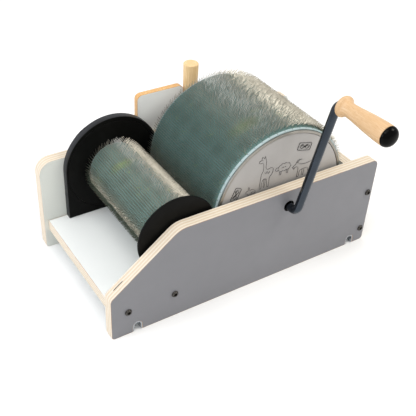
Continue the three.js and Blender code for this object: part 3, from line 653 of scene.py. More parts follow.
# Tempered card wire: each pin a thin bright line, warm against the cloth.
CARD_WIRE = Metal("card wire, tempered steel", 0.34, colour="#b1ab9c", tarnish="#6f6b60", patch=30 * MM)
# The storage drum's cloth, deep teal, and the feed drum's, faded paler: both colours are darkened as painted
# shade of the pins that stand over them. The bare margins, paler still, show the cloth's own tone without
# that painted shade.
DRUM_CLOTH = CardFoundation("card cloth, teal rubber face", 0.62, colour="#4d6964", faded="#61807b",
                            fibre="#7f9650", wisps=((0.2, 0.0),), wisp_size=(32 * MM, 15 * MM))
FEED_CLOTH = CardFoundation("card cloth, faded teal face", 0.62, colour="#607d76", faded="#76928b",
                            fibre="#a3b852", wisps=((0.0675, -0.08),), wisp_size=(25 * MM, 10 * MM))
MARGIN_CLOTH = CardFoundation("card cloth margin, bare", 0.6, colour="#94a8a9", faded="#b0c0c0",
                              fibre="#ccd6d6")
# Welded polyurethane cord: amber and waxy, as belt cord is sold.
BELT = Plastic("polyurethane cord, extruded", 0.35, colour="#c98336", dust="#b4702a", grit=0.9 * MM)


# ---- Measures from the frame ---------------------------------------------------------------
@dataclass(frozen=True)
class Span:
    """A CAD node's box."""

    low: Vector
    high: Vector

    @classmethod
    def of(cls, name: str) -> "Span":
        """The box of the node with this name."""
        return cls(*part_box(name))

    def size(self, axis: Axis) -> float:
        """The box's size along an axis."""
        return self.high[axis.value] - self.low[axis.value]

    def middle(self, axis: Axis) -> float:
        """The middle of the box along an axis."""
        return (self.high[axis.value] + self.low[axis.value]) / 2


@dataclass(frozen=True)
class Round:
    """A round node about an axis along X: its two ends, its centre and its radius."""

    start: float
    end: float
    y: float
    z: float
    radius: float

    @classmethod
    def of(cls, name: str) -> "Round":
        """The round form of the node with this name.

        Args:
            name: The CAD node.

        Returns:
            Its ends, centre and radius.
        """
        span = Span.of(name)
        return cls(span.low.x, span.high.x, span.middle(Axis.Y), span.middle(Axis.Z), span.size(Axis.Z) / 2)


# ---- Mesh helpers --------------------------------------------------------------------------
def new_object(name: str, mesh: bpy.types.Mesh) -> bpy.types.Object:
    """Links a mesh into the scene as an object at the origin.

    Args:
        name: The piece's name.
        mesh: Its mesh, already in place.

    Returns:
        The object.
    """
    made = bpy.data.objects.new(name, mesh)
    bpy.context.scene.collection.objects.link(made)
    return made


def solid(name: str, points: Sequence, faces: Sequence, finishes: Sequence[Finish]) -> bpy.types.Object:
    """Makes a closed piece with its faces pointing out and its round stretches smooth.

    Args:
        name: The piece's name.
        points: Corner positions.
        faces: Lists of corner numbers.
        finishes: The finishes of its material slots.

    Returns:
        The object.
    """
    mesh = bpy.data.meshes.new(name)
    mesh.from_pydata([tuple(p) for p in points], [], faces)
    work = bmesh.new()
    work.from_mesh(mesh)
    bmesh.ops.recalc_face_normals(work, faces=work.faces)
    work.to_mesh(mesh)
    work.free()
    for finish in finishes:
        mesh.materials.append(finish.make())
    mesh.shade_smooth()
    mesh.set_sharp_from_angle(angle=SMOOTH_ANGLE)
    return new_object(name, mesh)


def baked(made: bpy.types.Object) -> bpy.types.Object:
    """Turns an object and its modifiers into a plain mesh object of the same name.

    Args:
        made: The object, which is removed.

    Returns:
        The plain object.
    """
    name = made.name
    shapes = bpy.context.evaluated_depsgraph_get()
    mesh = bpy.data.meshes.new_from_object(made.evaluated_get(shapes), depsgraph=shapes)
    bpy.data.objects.remove(made)
    mesh.name = name
    return new_object(name, mesh)


def softened(profile: Sequence[Point2], radius: float, steps: int = 3) -> list[Point2]:
    """Rounds the corners of a closed profile, except those on its axis.

    Args:
        profile: Points of (distance along the axis, radius).
        radius: How far each corner is cut back.
        steps: Pieces in each rounding.

    Returns:
        The profile with its corners rounded.
    """
    made = []
    for i, (a, r) in enumerate(profile):
        corner = Vector((a, r))
        if r <= 0:
            made.append((a, r))
            continue
        ways = [Vector(profile[j % len(profile)]) - corner for j in (i - 1, i + 1)]
        ends = [corner + way.normalized() * min(radius, way.length * 0.45) for way in ways]
        for k in range(steps + 1):
            t = k / steps
            bent = ends[0] * (1 - t) ** 2 + corner * 2 * t * (1 - t) + ends[1] * t**2
            made.append((bent.x, bent.y))
    return made


def flowing(points: Sequence[Point2], steps: int = 5) -> list[Point2]:
    """Draws a smooth curve through the points of an open profile.

    Args:
        points: Points that the curve goes through.
        steps: Pieces between two points.

    Returns:
        The points of the curve.
    """
    given = [Vector(p) for p in points]
    made = []
    for i in range(len(given) - 1):
        before, a = given[max(i - 1, 0)], given[i]
        b, after = given[i + 1], given[min(i + 2, len(given) - 1)]
        for k in range(steps):
            t = k / steps
            p = 0.5 * (2 * a + (b - before) * t + (2 * before - 5 * a + 4 * b - after) * t**2
                       + (3 * a - before - 3 * b + after) * t**3)
            made.append((p.x, p.y))
    made.append(tuple(given[-1]))
    return made


def turned(name: str, profile: Sequence[Point2], centre: Point2, finishes: Sequence[Finish],
           slots: Sequence[int] = (), along: Axis = Axis.X, sides: int = 96) -> bpy.types.Object:
    """Turns a profile about an axis, with a surface map in metres.

    Args:
        name: The piece's name.
        profile: Points of (distance along the axis, radius). One that doesn't start and end on
            the axis is closed on itself.
        centre: Where the axis is: (y, z) for X, or (x, y) for Z.
        finishes: The finishes of its material slots.
        slots: The slot of the stretch that starts at each point. All are 0 if there are none.
        along: X or Z.
        sides: Faces round the axis.

    Returns:
        The turned object.
    """
    points, rings = [], []
    for a, r in profile:
        count = sides if r > 0 else 1
        rings.append(range(len(points), len(points) + count))
        for k in range(count):
            angle = 2 * math.pi * k / sides
            u, v = centre[0] + r * math.cos(angle), centre[1] + r * math.sin(angle)
            points.append((a, u, v) if along is Axis.X else (u, v, a))
    closed = profile[0][1] > 0 or profile[-1][1] > 0
    faces, slot_of, map_of = [], [], []
    for i in range(len(profile) if closed else len(profile) - 1):
        j = (i + 1) % len(profile)
        for k in range(sides):
            n = (k + 1) % sides
            corners = [(i, k, k), (i, n, k + 1), (j, n, k + 1), (j, k, k)]
            if len(rings[i]) == 1:
                corners = [(i, 0, k), *corners[2:]]
            if len(rings[j]) == 1:
                corners = [*corners[:-2], (j, 0, k)]
            faces.append([rings[ring][place] for ring, place, _ in corners])
            slot_of.append(slots[i] if slots else 0)
            wide = max(profile[i][1], profile[j][1])
            map_of.append({rings[ring][place]: (2 * math.pi * wide * turn / sides, profile[ring][0])
                           for ring, place, turn in corners})
    made = solid(name, points, faces, finishes)
    sheet = made.data.uv_layers.new(name="surface")
    for face in made.data.polygons:
        face.material_index = slot_of[face.index]
        for loop in face.loop_indices:
            sheet.data[loop].uv = map_of[face.index][made.data.loops[loop].vertex_index]
    return made


def outline(corners: Sequence[Corner], steps: int = 14) -> list[Point2]:
    """Rounds each corner of an outline by its own radius.

    Args:
        corners: Corners of (u, v, radius).
        steps: Pieces in each rounding.

    Returns:
        The outline's points.
    """
    made = []
    for i, (u, v, radius) in enumerate(corners):
        corner = Vector((u, v))
        if radius <= 0:
            made.append((u, v))
            continue
        back = (Vector(corners[i - 1][:2]) - corner).normalized()
        ahead = (Vector(corners[(i + 1) % len(corners)][:2]) - corner).normalized()
        half = math.acos(max(-1.0, min(1.0, back.dot(ahead)))) / 2
        centre = corner + (back + ahead).normalized() * radius / math.sin(half)
        start = corner + back * radius / math.tan(half) - centre
        end = corner + ahead * radius / math.tan(half) - centre
        turn = math.atan2(start.x * end.y - start.y * end.x, start.dot(end))
        for k in range(steps + 1):
            bent = Matrix.Rotation(turn * k / steps, 2) @ start + centre
            if not made or (Vector(made[-1]) - bent).length > 1e-6:
                made.append((bent.x, bent.y))
    return made


@dataclass(frozen=True)
class Sides:
    """Which slot each face of a board gets: its high face, its low face, and its edges."""

    high: int
    low: int
    edge: int


def board(name: str, shape: Sequence[Point2], across: Axis, low: float, high: float,
          finishes: Sequence[Finish], sides: Sides, cutters: Sequence[bpy.types.Object] = (),
          ease: float = 0.5 * MM) -> bpy.types.Object:
    """Makes a board from its outline, cut by each cutter and with its edges eased.

    Args:
        name: The piece's name.
        shape: The outline in the two axes that aren't `across`, in their order.
        across: The axis of the board's thickness.
        low: Where its thickness starts.
        high: Where it ends.
        finishes: The finishes of its material slots.
        sides: Which slot each face gets.
        cutters: Closed objects to take away, which are removed.
        ease: How far the edges are rounded.

    Returns:
        The board.
    """
    def place(point: Point2, depth: float) -> list[float]:
        """A point of the outline, at a depth through the board."""
        spot = list(point)
        spot.insert(across.value, depth)
        return spot

    count = len(shape)
    points = [place(p, depth) for depth in (low, high) for p in shape]
    faces = [list(range(count)), list(range(2 * count - 1, count - 1, -1))]
    faces += [[i, (i + 1) % count, (i + 1) % count + count, i + count] for i in range(count)]
    made = solid(name, points, faces, finishes)
    for cutter in cutters:
        cut = made.modifiers.new("cut", "BOOLEAN")
        cut.operation = "DIFFERENCE"
        cut.solver = "EXACT"
        cut.object = cutter
    eased = made.modifiers.new("ease", "BEVEL")
    eased.width = ease
    eased.segments = 2
    eased.limit_method = "ANGLE"
    eased.angle_limit = SMOOTH_ANGLE
    eased.harden_normals = True
    made = baked(made)
    for cutter in cutters:
        bpy.data.objects.remove(cutter)
    for face in made.data.polygons:
        lean = face.normal[across.value]
        flat = sides.high if lean > 0 else sides.low
        face.material_index = flat if abs(lean) > FLAT_FACE else sides.edge
    return made


def bore(stations: Sequence[Point2], centre: Point2, along: Axis = Axis.X) -> bpy.types.Object:
    """A stepped round cutter.

    Args:
        stations: Points of (distance along the axis, radius), from one end to the other.
        centre: Where its axis is.
        along: X or Z.

    Returns:
        The cutter.
    """
    profile = [(stations[0][0], 0.0), *stations, (stations[-1][0], 0.0)]
    return turned("cutter", profile, centre, (), along=along, sides=48)


def settle(piece: bpy.types.Object, body: Body, slot: Slot, *nodes: str) -> bpy.types.Object:
    """Puts a piece on its body and hides the CAD nodes that it stands for.

    Args:
        piece: The finished piece.
        body: The body that it rides on.
        slot: The record's slot that it stands for. Not used.
        *nodes: CAD nodes that it replaces.

    Returns:
        The piece.
    """
    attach(piece, body.value)
    if nodes:
        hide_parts(*nodes)
    log.info("%s rides on %s", piece.name, body.value)
    return piece


def dress(name: str, finish: Finish) -> None:
    """Gives a CAD node that stays its finish."""
    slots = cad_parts[name].material_slots
    for slot in slots:
        slot.material = finish.make()
    log.info("%s keeps its CAD shape", name)


# ---- Geometry Nodes ------------------------------------------------------------------------
class Jig:
    """A Geometry Nodes tree with named inputs, used as a modifier and then baked."""

    def __init__(self, name: str) -> None:
        """Starts an empty tree with a geometry going in and out."""
        self.tree = bpy.data.node_groups.new(name, "GeometryNodeTree")
        self.tree.interface.new_socket("Geometry", in_out="INPUT", socket_type="NodeSocketGeometry")
        self.tree.interface.new_socket("Geometry", in_out="OUTPUT", socket_type="NodeSocketGeometry")
        self.source = self.tree.nodes.new("NodeGroupInput")
        self.keys: dict[str, str] = {}

    def ask(self, name: str, kind: str) -> bpy.types.NodeSocket:
        """Adds a named input.

        Args:
            name: The input's name.
            kind: Its socket type after NodeSocket, such as Float.

        Returns:
            The socket that gives its value inside the tree.
        """
        made = self.tree.interface.new_socket(name, in_out="INPUT", socket_type="NodeSocket" + kind)
        self.keys[name] = made.identifier
        return self.source.outputs[name]

    def add(self, kind: str, inputs: dict | None = None, **settings) -> bpy.types.Node:
        """Adds a node to this tree, as node() does."""
        return node(self.tree, kind, inputs, **settings)

    def end(self, shape: bpy.types.NodeSocket, finish: bpy.types.NodeSocket) -> None:
        """Closes the tree: instances made real and dressed.

        Args:
            shape: The geometry to give out.
            finish: The material socket.
        """
        real = self.add("GeometryNodeRealizeInstances", {"Geometry": shape})
        dressed = self.add("GeometryNodeSetMaterial", {"Geometry": real.outputs[0], "Material": finish})
        self.add("NodeGroupOutput", {0: dressed.outputs[0]})

    def run(self, name: str, start: bpy.types.Mesh, values: dict) -> bpy.types.Object:
        """Runs the tree on a mesh.

        Args:
            name: The piece's name.
            start: The mesh that goes in.
            values: The inputs' values by name.

        Returns:
            A plain mesh object.
        """
        made = new_object(name, start)
        modifier = made.modifiers.new("jig", "NODES")
        modifier.node_group = self.tree
        for key, value in values.items():
            modifier[self.keys[key]] = value
        return baked(made)


def dots(points: Sequence[Vector], sides: Sequence[float] = ()) -> bpy.types.Mesh:
    """A mesh of loose points for a jig to put pieces on.

    Args:
        points: Where they are.
        sides: For each point, 1 where its piece faces +X and -1 where it faces -X.

    Returns:
        The mesh.
    """
    mesh = bpy.data.meshes.new("dots")
    mesh.from_pydata([tuple(p) for p in points], [], [])
    facing = mesh.attributes.new("facing", "FLOAT", "POINT")
    facing.data.foreach_set("value", list(sides) or [1.0] * len(points))
    return mesh


def strokes(lines: Sequence[Sequence[Vector]], closed: bool = False) -> bpy.types.Mesh:
    """A mesh of bare edges that follow lines.

    Args:
        lines: The points of each line.
        closed: Whether each line comes back to its start.

    Returns:
        The mesh.
    """
    points, edges = [], []
    for line in lines:
        first = len(points)
        points += [tuple(p) for p in line]
        edges += [(i, i + 1) for i in range(first, len(points) - 1)]
        if closed:
            edges.append((len(points) - 1, first))
    mesh = bpy.data.meshes.new("strokes")
    mesh.from_pydata(points, edges, [])
    return mesh


def pin_jig() -> Jig:
    """The jig that sets rows of wire pins round a drum.

    Returns:
        The jig. Its pins stand on the drum's surface, every row shifted against the last, and each
        pin leans and stands a little differently.
    """
    jig = Jig("card wire")
    pin, finish = jig.ask("Pin", "Object"), jig.ask("Finish", "Material")
    rows, columns = jig.ask("Rows", "Int"), jig.ask("Columns", "Int")
    start, pitch, radius = jig.ask("Start", "Float"), jig.ask("Pitch", "Float"), jig.ask("Radius", "Float")
    centre_y, centre_z = jig.ask("Centre Y", "Float"), jig.ask("Centre Z", "Float")
    twill, spread, seed = jig.ask("Twill", "Float"), jig.ask("Spread", "Float"), jig.ask("Seed", "Int")

    def maths(operation: str, *values: object) -> bpy.types.NodeSocket:
        """One arithmetic step on sockets or numbers."""
        return jig.add("ShaderNodeMath", dict(enumerate(values)), operation=operation).outputs[0]

    index = jig.add("GeometryNodeInputIndex").outputs[0]
    row = maths("FLOOR", maths("DIVIDE", maths("ADD", index, 0.5), columns))
    column = maths("SUBTRACT", index, maths("MULTIPLY", row, columns))
    shift = maths("DIVIDE", maths("MODULO", row, twill), twill)
    angle = maths("MULTIPLY", row, maths("DIVIDE", 2 * math.pi, rows))
    x = maths("MULTIPLY_ADD", maths("ADD", column, shift), pitch, start)
    y = maths("MULTIPLY_ADD", maths("COSINE", angle), radius, centre_y)
    z = maths("MULTIPLY_ADD", maths("SINE", angle), radius, centre_z)
    spot = jig.add("ShaderNodeCombineXYZ", {"X": x, "Y": y, "Z": z})
    points = jig.add("GeometryNodePoints", {
        "Count": maths("MULTIPLY", rows, columns), "Position": spot.outputs[0],
    })
    upright = jig.add("ShaderNodeCombineXYZ", {"X": maths("SUBTRACT", angle, math.pi / 2)})
    wire = jig.add("GeometryNodeObjectInfo", {"Object": pin})
    placed = jig.add("GeometryNodeInstanceOnPoints", {
        "Points": points.outputs[0], "Instance": wire.outputs["Geometry"], "Rotation": upright.outputs[0],
    })
    back = jig.add("ShaderNodeVectorMath", {0: (-1.0, -1.0, -1.0), "Scale": spread}, operation="SCALE")
    ahead = jig.add("ShaderNodeVectorMath", {0: (1.0, 1.0, 1.0), "Scale": spread}, operation="SCALE")
    lean = jig.add("FunctionNodeRandomValue", {
        0: back.outputs[0], 1: ahead.outputs[0], "Seed": seed,
    }, data_type="FLOAT_VECTOR")
    leaning = jig.add("GeometryNodeRotateInstances", {
        "Instances": placed.outputs[0], "Rotation": lean.outputs[0], "Local Space": True,
    })
    tall = jig.add("FunctionNodeRandomValue", {2: 0.93, 3: 1.0, "Seed": seed}, data_type="FLOAT")
    grown = jig.add("ShaderNodeCombineXYZ", {"X": 1.0, "Y": 1.0, "Z": tall.outputs[1]})
    sized = jig.add("GeometryNodeScaleInstances", {
        "Instances": leaning.outputs[0], "Scale": grown.outputs[0], "Local Space": True,
    })
    jig.end(sized.outputs[0], finish)
    return jig


def fastener_jig() -> Jig:
    """The jig that puts one fastener on each point, facing its side and turned at random.

    Returns:
        The jig.
    """
    jig = Jig("fasteners")
    piece, finish = jig.ask("Piece", "Object"), jig.ask("Finish", "Material")
    turn, seed = jig.ask("Turn", "Float"), jig.ask("Seed", "Int")
    facing = jig.add("GeometryNodeInputNamedAttribute", {"Name": "facing"}, data_type="FLOAT")
    flip = jig.add("ShaderNodeMath", {0: facing.outputs[0]}, operation="ARCCOSINE")
    aimed = jig.add("ShaderNodeCombineXYZ", {"Z": flip.outputs[0]})
    screw = jig.add("GeometryNodeObjectInfo", {"Object": piece})
    placed = jig.add("GeometryNodeInstanceOnPoints", {
        "Points": jig.source.outputs["Geometry"], "Instance": screw.outputs["Geometry"],
        "Rotation": aimed.outputs[0],
    })
    chance = jig.add("FunctionNodeRandomValue", {2: 0.0, 3: turn, "Seed": seed}, data_type="FLOAT")
    spun = jig.add("ShaderNodeCombineXYZ", {"X": chance.outputs[1]})
    driven = jig.add("GeometryNodeRotateInstances", {
        "Instances": placed.outputs[0], "Rotation": spun.outputs[0], "Local Space": True,
    })
    jig.end(driven.outputs[0], finish)
    return jig


def rod_jig() -> Jig:
    """The jig that runs a round bar along a line and bends it at the line's corners.

    Returns:
        The jig.
    """
    jig = Jig("round bar")
    finish, radius = jig.ask("Finish", "Material"), jig.ask("Radius", "Float")
    bend, sides = jig.ask("Bend", "Float"), jig.ask("Sides", "Int")
    line = jig.add("GeometryNodeMeshToCurve", {"Mesh": jig.source.outputs["Geometry"]})
    bent = jig.add("GeometryNodeFilletCurve", {
        "Curve": line.outputs[0], "Radius": bend, "Limit Radius": True, "Count": 12,
    }, mode="POLY")
    section = jig.add("GeometryNodeCurvePrimitiveCircle", {"Resolution": sides, "Radius": radius})
    bar = jig.add("GeometryNodeCurveToMesh", {
        "Curve": bent.outputs[0], "Profile Curve": section.outputs[0], "Fill Caps": True,
    })
    smooth = jig.add("GeometryNodeSetShadeSmooth", {"Geometry": bar.outputs[0]})
    jig.end(smooth.outputs[0], finish)
    return jig


def ink_jig() -> Jig:
    """The jig that prints lines: a flat ribbon of ink along each one.

    Returns:
        The jig.
    """
    jig = Jig("ink lines")
    finish = jig.ask("Finish", "Material")
    width, depth = jig.ask("Width", "Float"), jig.ask("Depth", "Float")
    line = jig.add("GeometryNodeMeshToCurve", {"Mesh": jig.source.outputs["Geometry"]})
    section = jig.add("GeometryNodeCurvePrimitiveQuadrilateral", {"Width": width, "Height": depth})
    level = jig.add("GeometryNodeSetCurveNormal", {"Curve": line.outputs[0], "Normal": (1.0, 0.0, 0.0)},
                    mode="FREE")
    ribbon = jig.add("GeometryNodeCurveToMesh", {
        "Curve": level.outputs[0], "Profile Curve": section.outputs[0], "Fill Caps": True,
    })
    jig.end(ribbon.outputs[0], finish)
    return jig


# ---- Frame boards --------------------------------------------------------------------------
@dataclass
class Cabinet:
    """The boards that carry the drums: two side panels, the feed tray and the rear board."""

    foot_radius: float = 5 * MM
    rear_radius: float = 10 * MM
    front_radius: float = 9 * MM
    slope_radius: float = 30 * MM
    far_front_radius: float = 20 * MM
    slope_end: float = 97.5 * MM
    slope_start_height: float = 68.5 * MM
    slot_inset_front: float = 37 * MM
    slot_inset_rear: float = 26.5 * MM
    slot_width: float = 14 * MM
    slot_height: float = 16 * MM
    crank_hole: float = 8 * MM
    crank_hole_depth: float = 5 * MM
    bush_bore: float = 11.65 * MM
    blind_depth: float = 12 * MM
    overrun: float = 2 * MM
    knot_width: float = 2 * MM
    knot_length: float = 18 * MM
    knot_inset: float = 6.6 * MM
    knot_back: float = 15.5 * MM
    knot_height: float = 80.6 * MM
    knot_reach: Point2 = (-4 * MM, 2 * MM)
    # How far beyond the crank's hole the painted shade in the hole reaches.
    hole_shade_width: float = 1.5 * MM
    right: Span = field(default_factory=lambda: Span.of("right_side_panel"))
    left: Span = field(default_factory=lambda: Span.of("left_side_panel"))
    tray: Span = field(default_factory=lambda: Span.of("feed_tray"))
    back: Span = field(default_factory=lambda: Span.of("rear_panel"))
    drum: Round = field(default_factory=lambda: Round.of("drum_shell"))
    licker: Round = field(default_factory=lambda: Round.of("licker_axle"))
    guard: Span = field(default_factory=lambda: Span.of("guard_board"))
    spike: Span = field(default_factory=lambda: Span.of("pick_spike"))

    def slot(self, y: float) -> list[Corner]:
        """The corners of a clamp slot in a panel's bottom edge, centred on y.

        Args:
            y: The slot's middle.

        Returns:
            Its corners, from the rear one to the front one.
        """
        half, top = self.slot_width / 2, self.slot_height
        return [(y + half, 0.0, 0.0), (y + half, top, half), (y - half, top, half), (y - half, 0.0, 0.0)]

    def feet(self, panel: Span) -> list[Corner]:
        """A panel's bottom edge, from its rear foot to its front foot.

        Args:
            panel: The panel's box.

        Returns:
            The corners.
        """
        return [
            (panel.high.y, 0.0, self.foot_radius),
            *self.slot(panel.high.y - self.slot_inset_rear),
            *self.slot(panel.low.y + self.slot_inset_front),
            (panel.low.y, 0.0, self.foot_radius),
        ]

    def edge(self, panel: Span, across: Axis) -> PlyEdge:
        """The plywood edge of a board.

        Args:
            panel: The board's box.
            across: The axis of its thickness.

        Returns:
            The finish, with its plies laid across this board.
        """
        number = round(panel.low[across.value] / MM)
        return PlyEdge(f"birch plywood edge, sanded {across.name}{number}", 0.62, across=across,
                       start=panel.low[across.value], thickness=panel.size(across))

    def knot(self) -> bpy.types.Object:
        """A cutter for the open knot in the near panel's sloping edge, where a ply ran short.

        Returns:
            The cutter: a slim lens along the slope.
        """
        run = Vector((0.0, self.slope_end, self.right.high.z - self.slope_start_height)).normalized()
        rise = run.cross(Vector((1.0, 0.0, 0.0)))
        middle = Vector((self.right.low.x + self.knot_inset, self.right.low.y + self.knot_back,
                         self.knot_height))
        points, count = [], 16
        for depth in self.knot_reach:
            for k in range(count):
                turn = 2 * math.pi * k / count
                side = Vector((math.sin(turn) * self.knot_width / 2, 0.0, 0.0))
                points.append(middle + run * math.cos(turn) * self.knot_length / 2 + side + rise * depth)
        faces = [list(range(count)), list(range(2 * count - 1, count - 1, -1))]
        faces += [[i, (i + 1) % count, (i + 1) % count + count, i + count] for i in range(count)]
        return solid("cutter", points, faces, ())

    def right_panel(self) -> None:
        """The crank side's panel, grey outside, with its sloping front and the crank's hole."""
        panel, over = self.right, self.overrun
        shape = outline([
            *self.feet(panel),
            (panel.low.y, self.slope_start_height, self.front_radius),
            (panel.low.y + self.slope_end, panel.high.z, self.slope_radius),
            (panel.high.y, panel.high.z, self.rear_radius),
        ])
        stop = panel.high.x - self.crank_hole_depth
        crank = bore([
            (panel.low.x - over, self.bush_bore), (stop, self.bush_bore),
            (stop, self.crank_hole), (panel.high.x + over, self.crank_hole),
        ], (self.drum.y, self.drum.z))
        blind = bore([
            (panel.low.x - over, self.bush_bore), (panel.low.x + self.blind_depth, self.bush_bore),
        ], (self.licker.y, self.licker.z))
        made = board("near_panel", shape, Axis.X, panel.low.x, panel.high.x,
                     (GREY_FILM, PALE_FILM, self.edge(panel, Axis.X), BLACK_EDGE_AND_HOLE_SHADE), Sides(0, 1, 2),
                     (crank, blind, self.knot()))
        # The crank's hole, its wall and eased rim, get the black edge finish: painted shade in the hole.
        painted_shade_reach = self.crank_hole + self.hole_shade_width
        for face in made.data.polygons:
            away = math.hypot(face.center.y - self.drum.y, face.center.z - self.drum.z)
            if away < painted_shade_reach:
                face.material_index = 3
        settle(made, Body.FRAME, Slot.LAMINATE, "right_side_panel")

    def left_panel(self) -> None:
        """The drive side's panel, with a lap for the guard board and a hole for the pick."""
        panel, over = self.left, self.overrun
        shape = outline([
            *self.feet(panel),
            (panel.low.y, panel.high.z, self.far_front_radius),
            (panel.high.y, panel.high.z, self.rear_radius),
        ])
        through = [(panel.low.x - over, self.bush_bore), (panel.high.x + over, self.bush_bore)]
        room = 0.3 * MM
        lap_shape = [
            (self.guard.low.y - room, self.guard.low.z - room),
            (self.guard.high.y + room, self.guard.low.z - room),
            (self.guard.high.y + room, panel.high.z + over),
            (self.guard.low.y - room, panel.high.z + over),
        ]
        lap = board("cutter", lap_shape, Axis.X, panel.low.x - over, self.guard.high.x + room, (),
                    Sides(0, 0, 0), ease=0.0)
        hole = self.spike.size(Axis.X) / 2 + 0.1 * MM
        well = bore([(self.spike.low.z - over, hole), (panel.high.z + over, hole)],
                    (self.spike.middle(Axis.X), self.spike.middle(Axis.Y)), Axis.Z)
        made = board("far_panel", shape, Axis.X, panel.low.x, panel.high.x,
                     (PALE_FILM, GREY_FILM, self.edge(panel, Axis.X)), Sides(0, 1, 2),
                     (bore(through, (self.drum.y, self.drum.z)),
                      bore(through, (self.licker.y, self.licker.z)), lap, well))
        settle(made, Body.FRAME, Slot.LAMINATE, "left_side_panel")

    def feed_tray(self) -> None:
        """The tray that the wool is laid on, white on top."""
        tray = self.tray
        shape = [(tray.low.x, tray.low.y), (tray.high.x, tray.low.y), (tray.high.x, tray.high.y),
                 (tray.low.x, tray.high.y)]
        made = board("wool_tray", shape, Axis.Z, tray.low.z, tray.high.z,
                     (WHITE_FILM, PALE_FILM, self.edge(tray, Axis.Z)), Sides(0, 1, 2), ease=0.7 * MM)
        settle(made, Body.FRAME, Slot.PALE_LAMINATE, "feed_tray")

    def rear_board(self) -> None:
        """The upright board that ties the panels together behind the storage drum."""
        back = self.back
        shape = [(back.low.x, back.low.z), (back.high.x, back.low.z), (back.high.x, back.high.z),
                 (back.low.x, back.high.z)]
        made = board("rear_board", shape, Axis.Y, back.low.y, back.high.y,
                     (GREY_FILM, PALE_FILM, self.edge(back, Axis.Y)), Sides(0, 1, 2), ease=0.7 * MM)
        settle(made, Body.FRAME, Slot.PALE_LAMINATE, "rear_panel")

    def build(self) -> None:
        """Makes every board."""
        self.right_panel()
        self.left_panel()
        self.feed_tray()
        self.rear_board()


# ---- Fasteners -----------------------------------------------------------------------------
@dataclass
class Fasteners:
    """Button-head screws in the panels, countersunk ones in the guard, and the clamp slots' liners."""

    head_radius: float = 4.8 * MM
    head_height: float = 2.6 * MM
    shank_radius: float = 2.4 * MM
    socket_flat: float = 2.3 * MM
    socket_depth: float = 2.1 * MM
    right: Span = field(default_factory=lambda: Span.of("right_side_panel"))
    left: Span = field(default_factory=lambda: Span.of("left_side_panel"))
    frame_screws: tuple[str, ...] = ("tray_front", "tray_rear", "back_lower", "back_upper")

    def socket_head(self, name: str, dome: Sequence[Point2], length: float) -> bpy.types.Object:
        """A screw along X with a six-sided socket in its head.

        Args:
            name: The object's name.
            dome: The head's profile from the shank to the socket's rim.
            length: The shank's length below the head's seat.

        Returns:
            The screw, its seat at the origin.
        """
        sides = 24
        top = dome[-1][0]
        socket = [(top, self.socket_flat * 1.25), (top - 0.2 * MM, self.socket_flat * 1.1),
                  (top - self.socket_depth, self.socket_flat * 1.1), (top - self.socket_depth, 0.0)]
        profile = [(-length, 0.0), (-length, self.shank_radius * 0.6),
                   (-length + self.shank_radius, self.shank_radius), *dome, *socket]
        screw = turned(name, profile, (0.0, 0.0), (BLACK_ZINC,), sides=sides)
        for vertex in screw.data.vertices:
            inside = top - self.socket_depth - 1e-6 < vertex.co.x < top - 0.1 * MM
            radius = math.hypot(vertex.co.y, vertex.co.z)
            if inside and 1e-6 < radius < self.socket_flat * 1.2:
                angle = math.atan2(vertex.co.z, vertex.co.y)
                flat = (angle % (math.pi / 3)) - math.pi / 6
                scale = self.socket_flat / math.cos(flat) / radius
                vertex.co.y *= scale
                vertex.co.z *= scale
        return screw

    def button(self, length: float) -> bpy.types.Object:
        """A button-head screw of this length."""
        r, h = self.head_radius, self.head_height
        dome = [(0.2 * MM, self.shank_radius), (0.2 * MM, r * 0.96), (0.45 * MM, r)]
        dome += [(0.45 * MM + (h - 0.45 * MM) * math.sin(a), r * (0.62 + 0.38 * math.cos(a)))
                 for a in (math.radians(d) for d in (18, 36, 54, 72, 88))]
        return self.socket_head("button_screw", dome, length)

    def countersunk(self, length: float) -> bpy.types.Object:
        """A countersunk screw of this length, its head flush."""
        r, h = self.head_radius - 0.3 * MM, self.head_height
        dome = [(-h, self.shank_radius), (-0.5 * MM, r), (-0.3 * MM, r)]
        return self.socket_head("flush_screw", dome, length)

    def place(self, name: str, screw: bpy.types.Object, nodes: Sequence[str], seat: float, seed: int) -> None:
        """Puts a screw where each of these CAD screws is.

        Args:
            name: The piece's name.
            screw: The screw to repeat, which is removed.
            nodes: CAD screws that share one form.
            seat: How far the head stands out of the CAD screw's seat.
            seed: Seed for the turn of each head.
        """
        points, sides = [], []
        for label in nodes:
            span = Span.of(label)
            side = 1.0 if span.middle(Axis.X) > 0 else -1.0
            face = self.right.high.x if side > 0 else self.left.low.x
            points.append(Vector((face + side * seat, span.middle(Axis.Y), span.middle(Axis.Z))))
            sides.append(side)
        made = fastener_jig().run(name, dots(points, sides), {
            "Piece": screw, "Finish": BLACK_ZINC.make(), "Turn": math.pi, "Seed": seed,
        })
        bpy.data.objects.remove(screw)
        settle(made, Body.FRAME, Slot.STEEL, *nodes)

    def build(self) -> None:
        """Makes every screw and dresses the liners."""
        frame_nodes = [f"screw_{side}_{place}" for side in ("right", "left") for place in self.frame_screws]
        self.place("frame_screws", self.button(44 * MM), frame_nodes, 0.0, 3)
        self.place("arch_screws", self.button(22 * MM), ("arch_screw_front", "arch_screw_rear"), 0.0, 5)
        self.place("guard_screws", self.countersunk(12 * MM), ("guard_screw_front", "guard_screw_rear"),
                   0.0, 8)
        for side in ("right", "left"):
            for end in ("front", "rear"):
                dress(f"clamp_liner_{side}_{end}", ZINC)


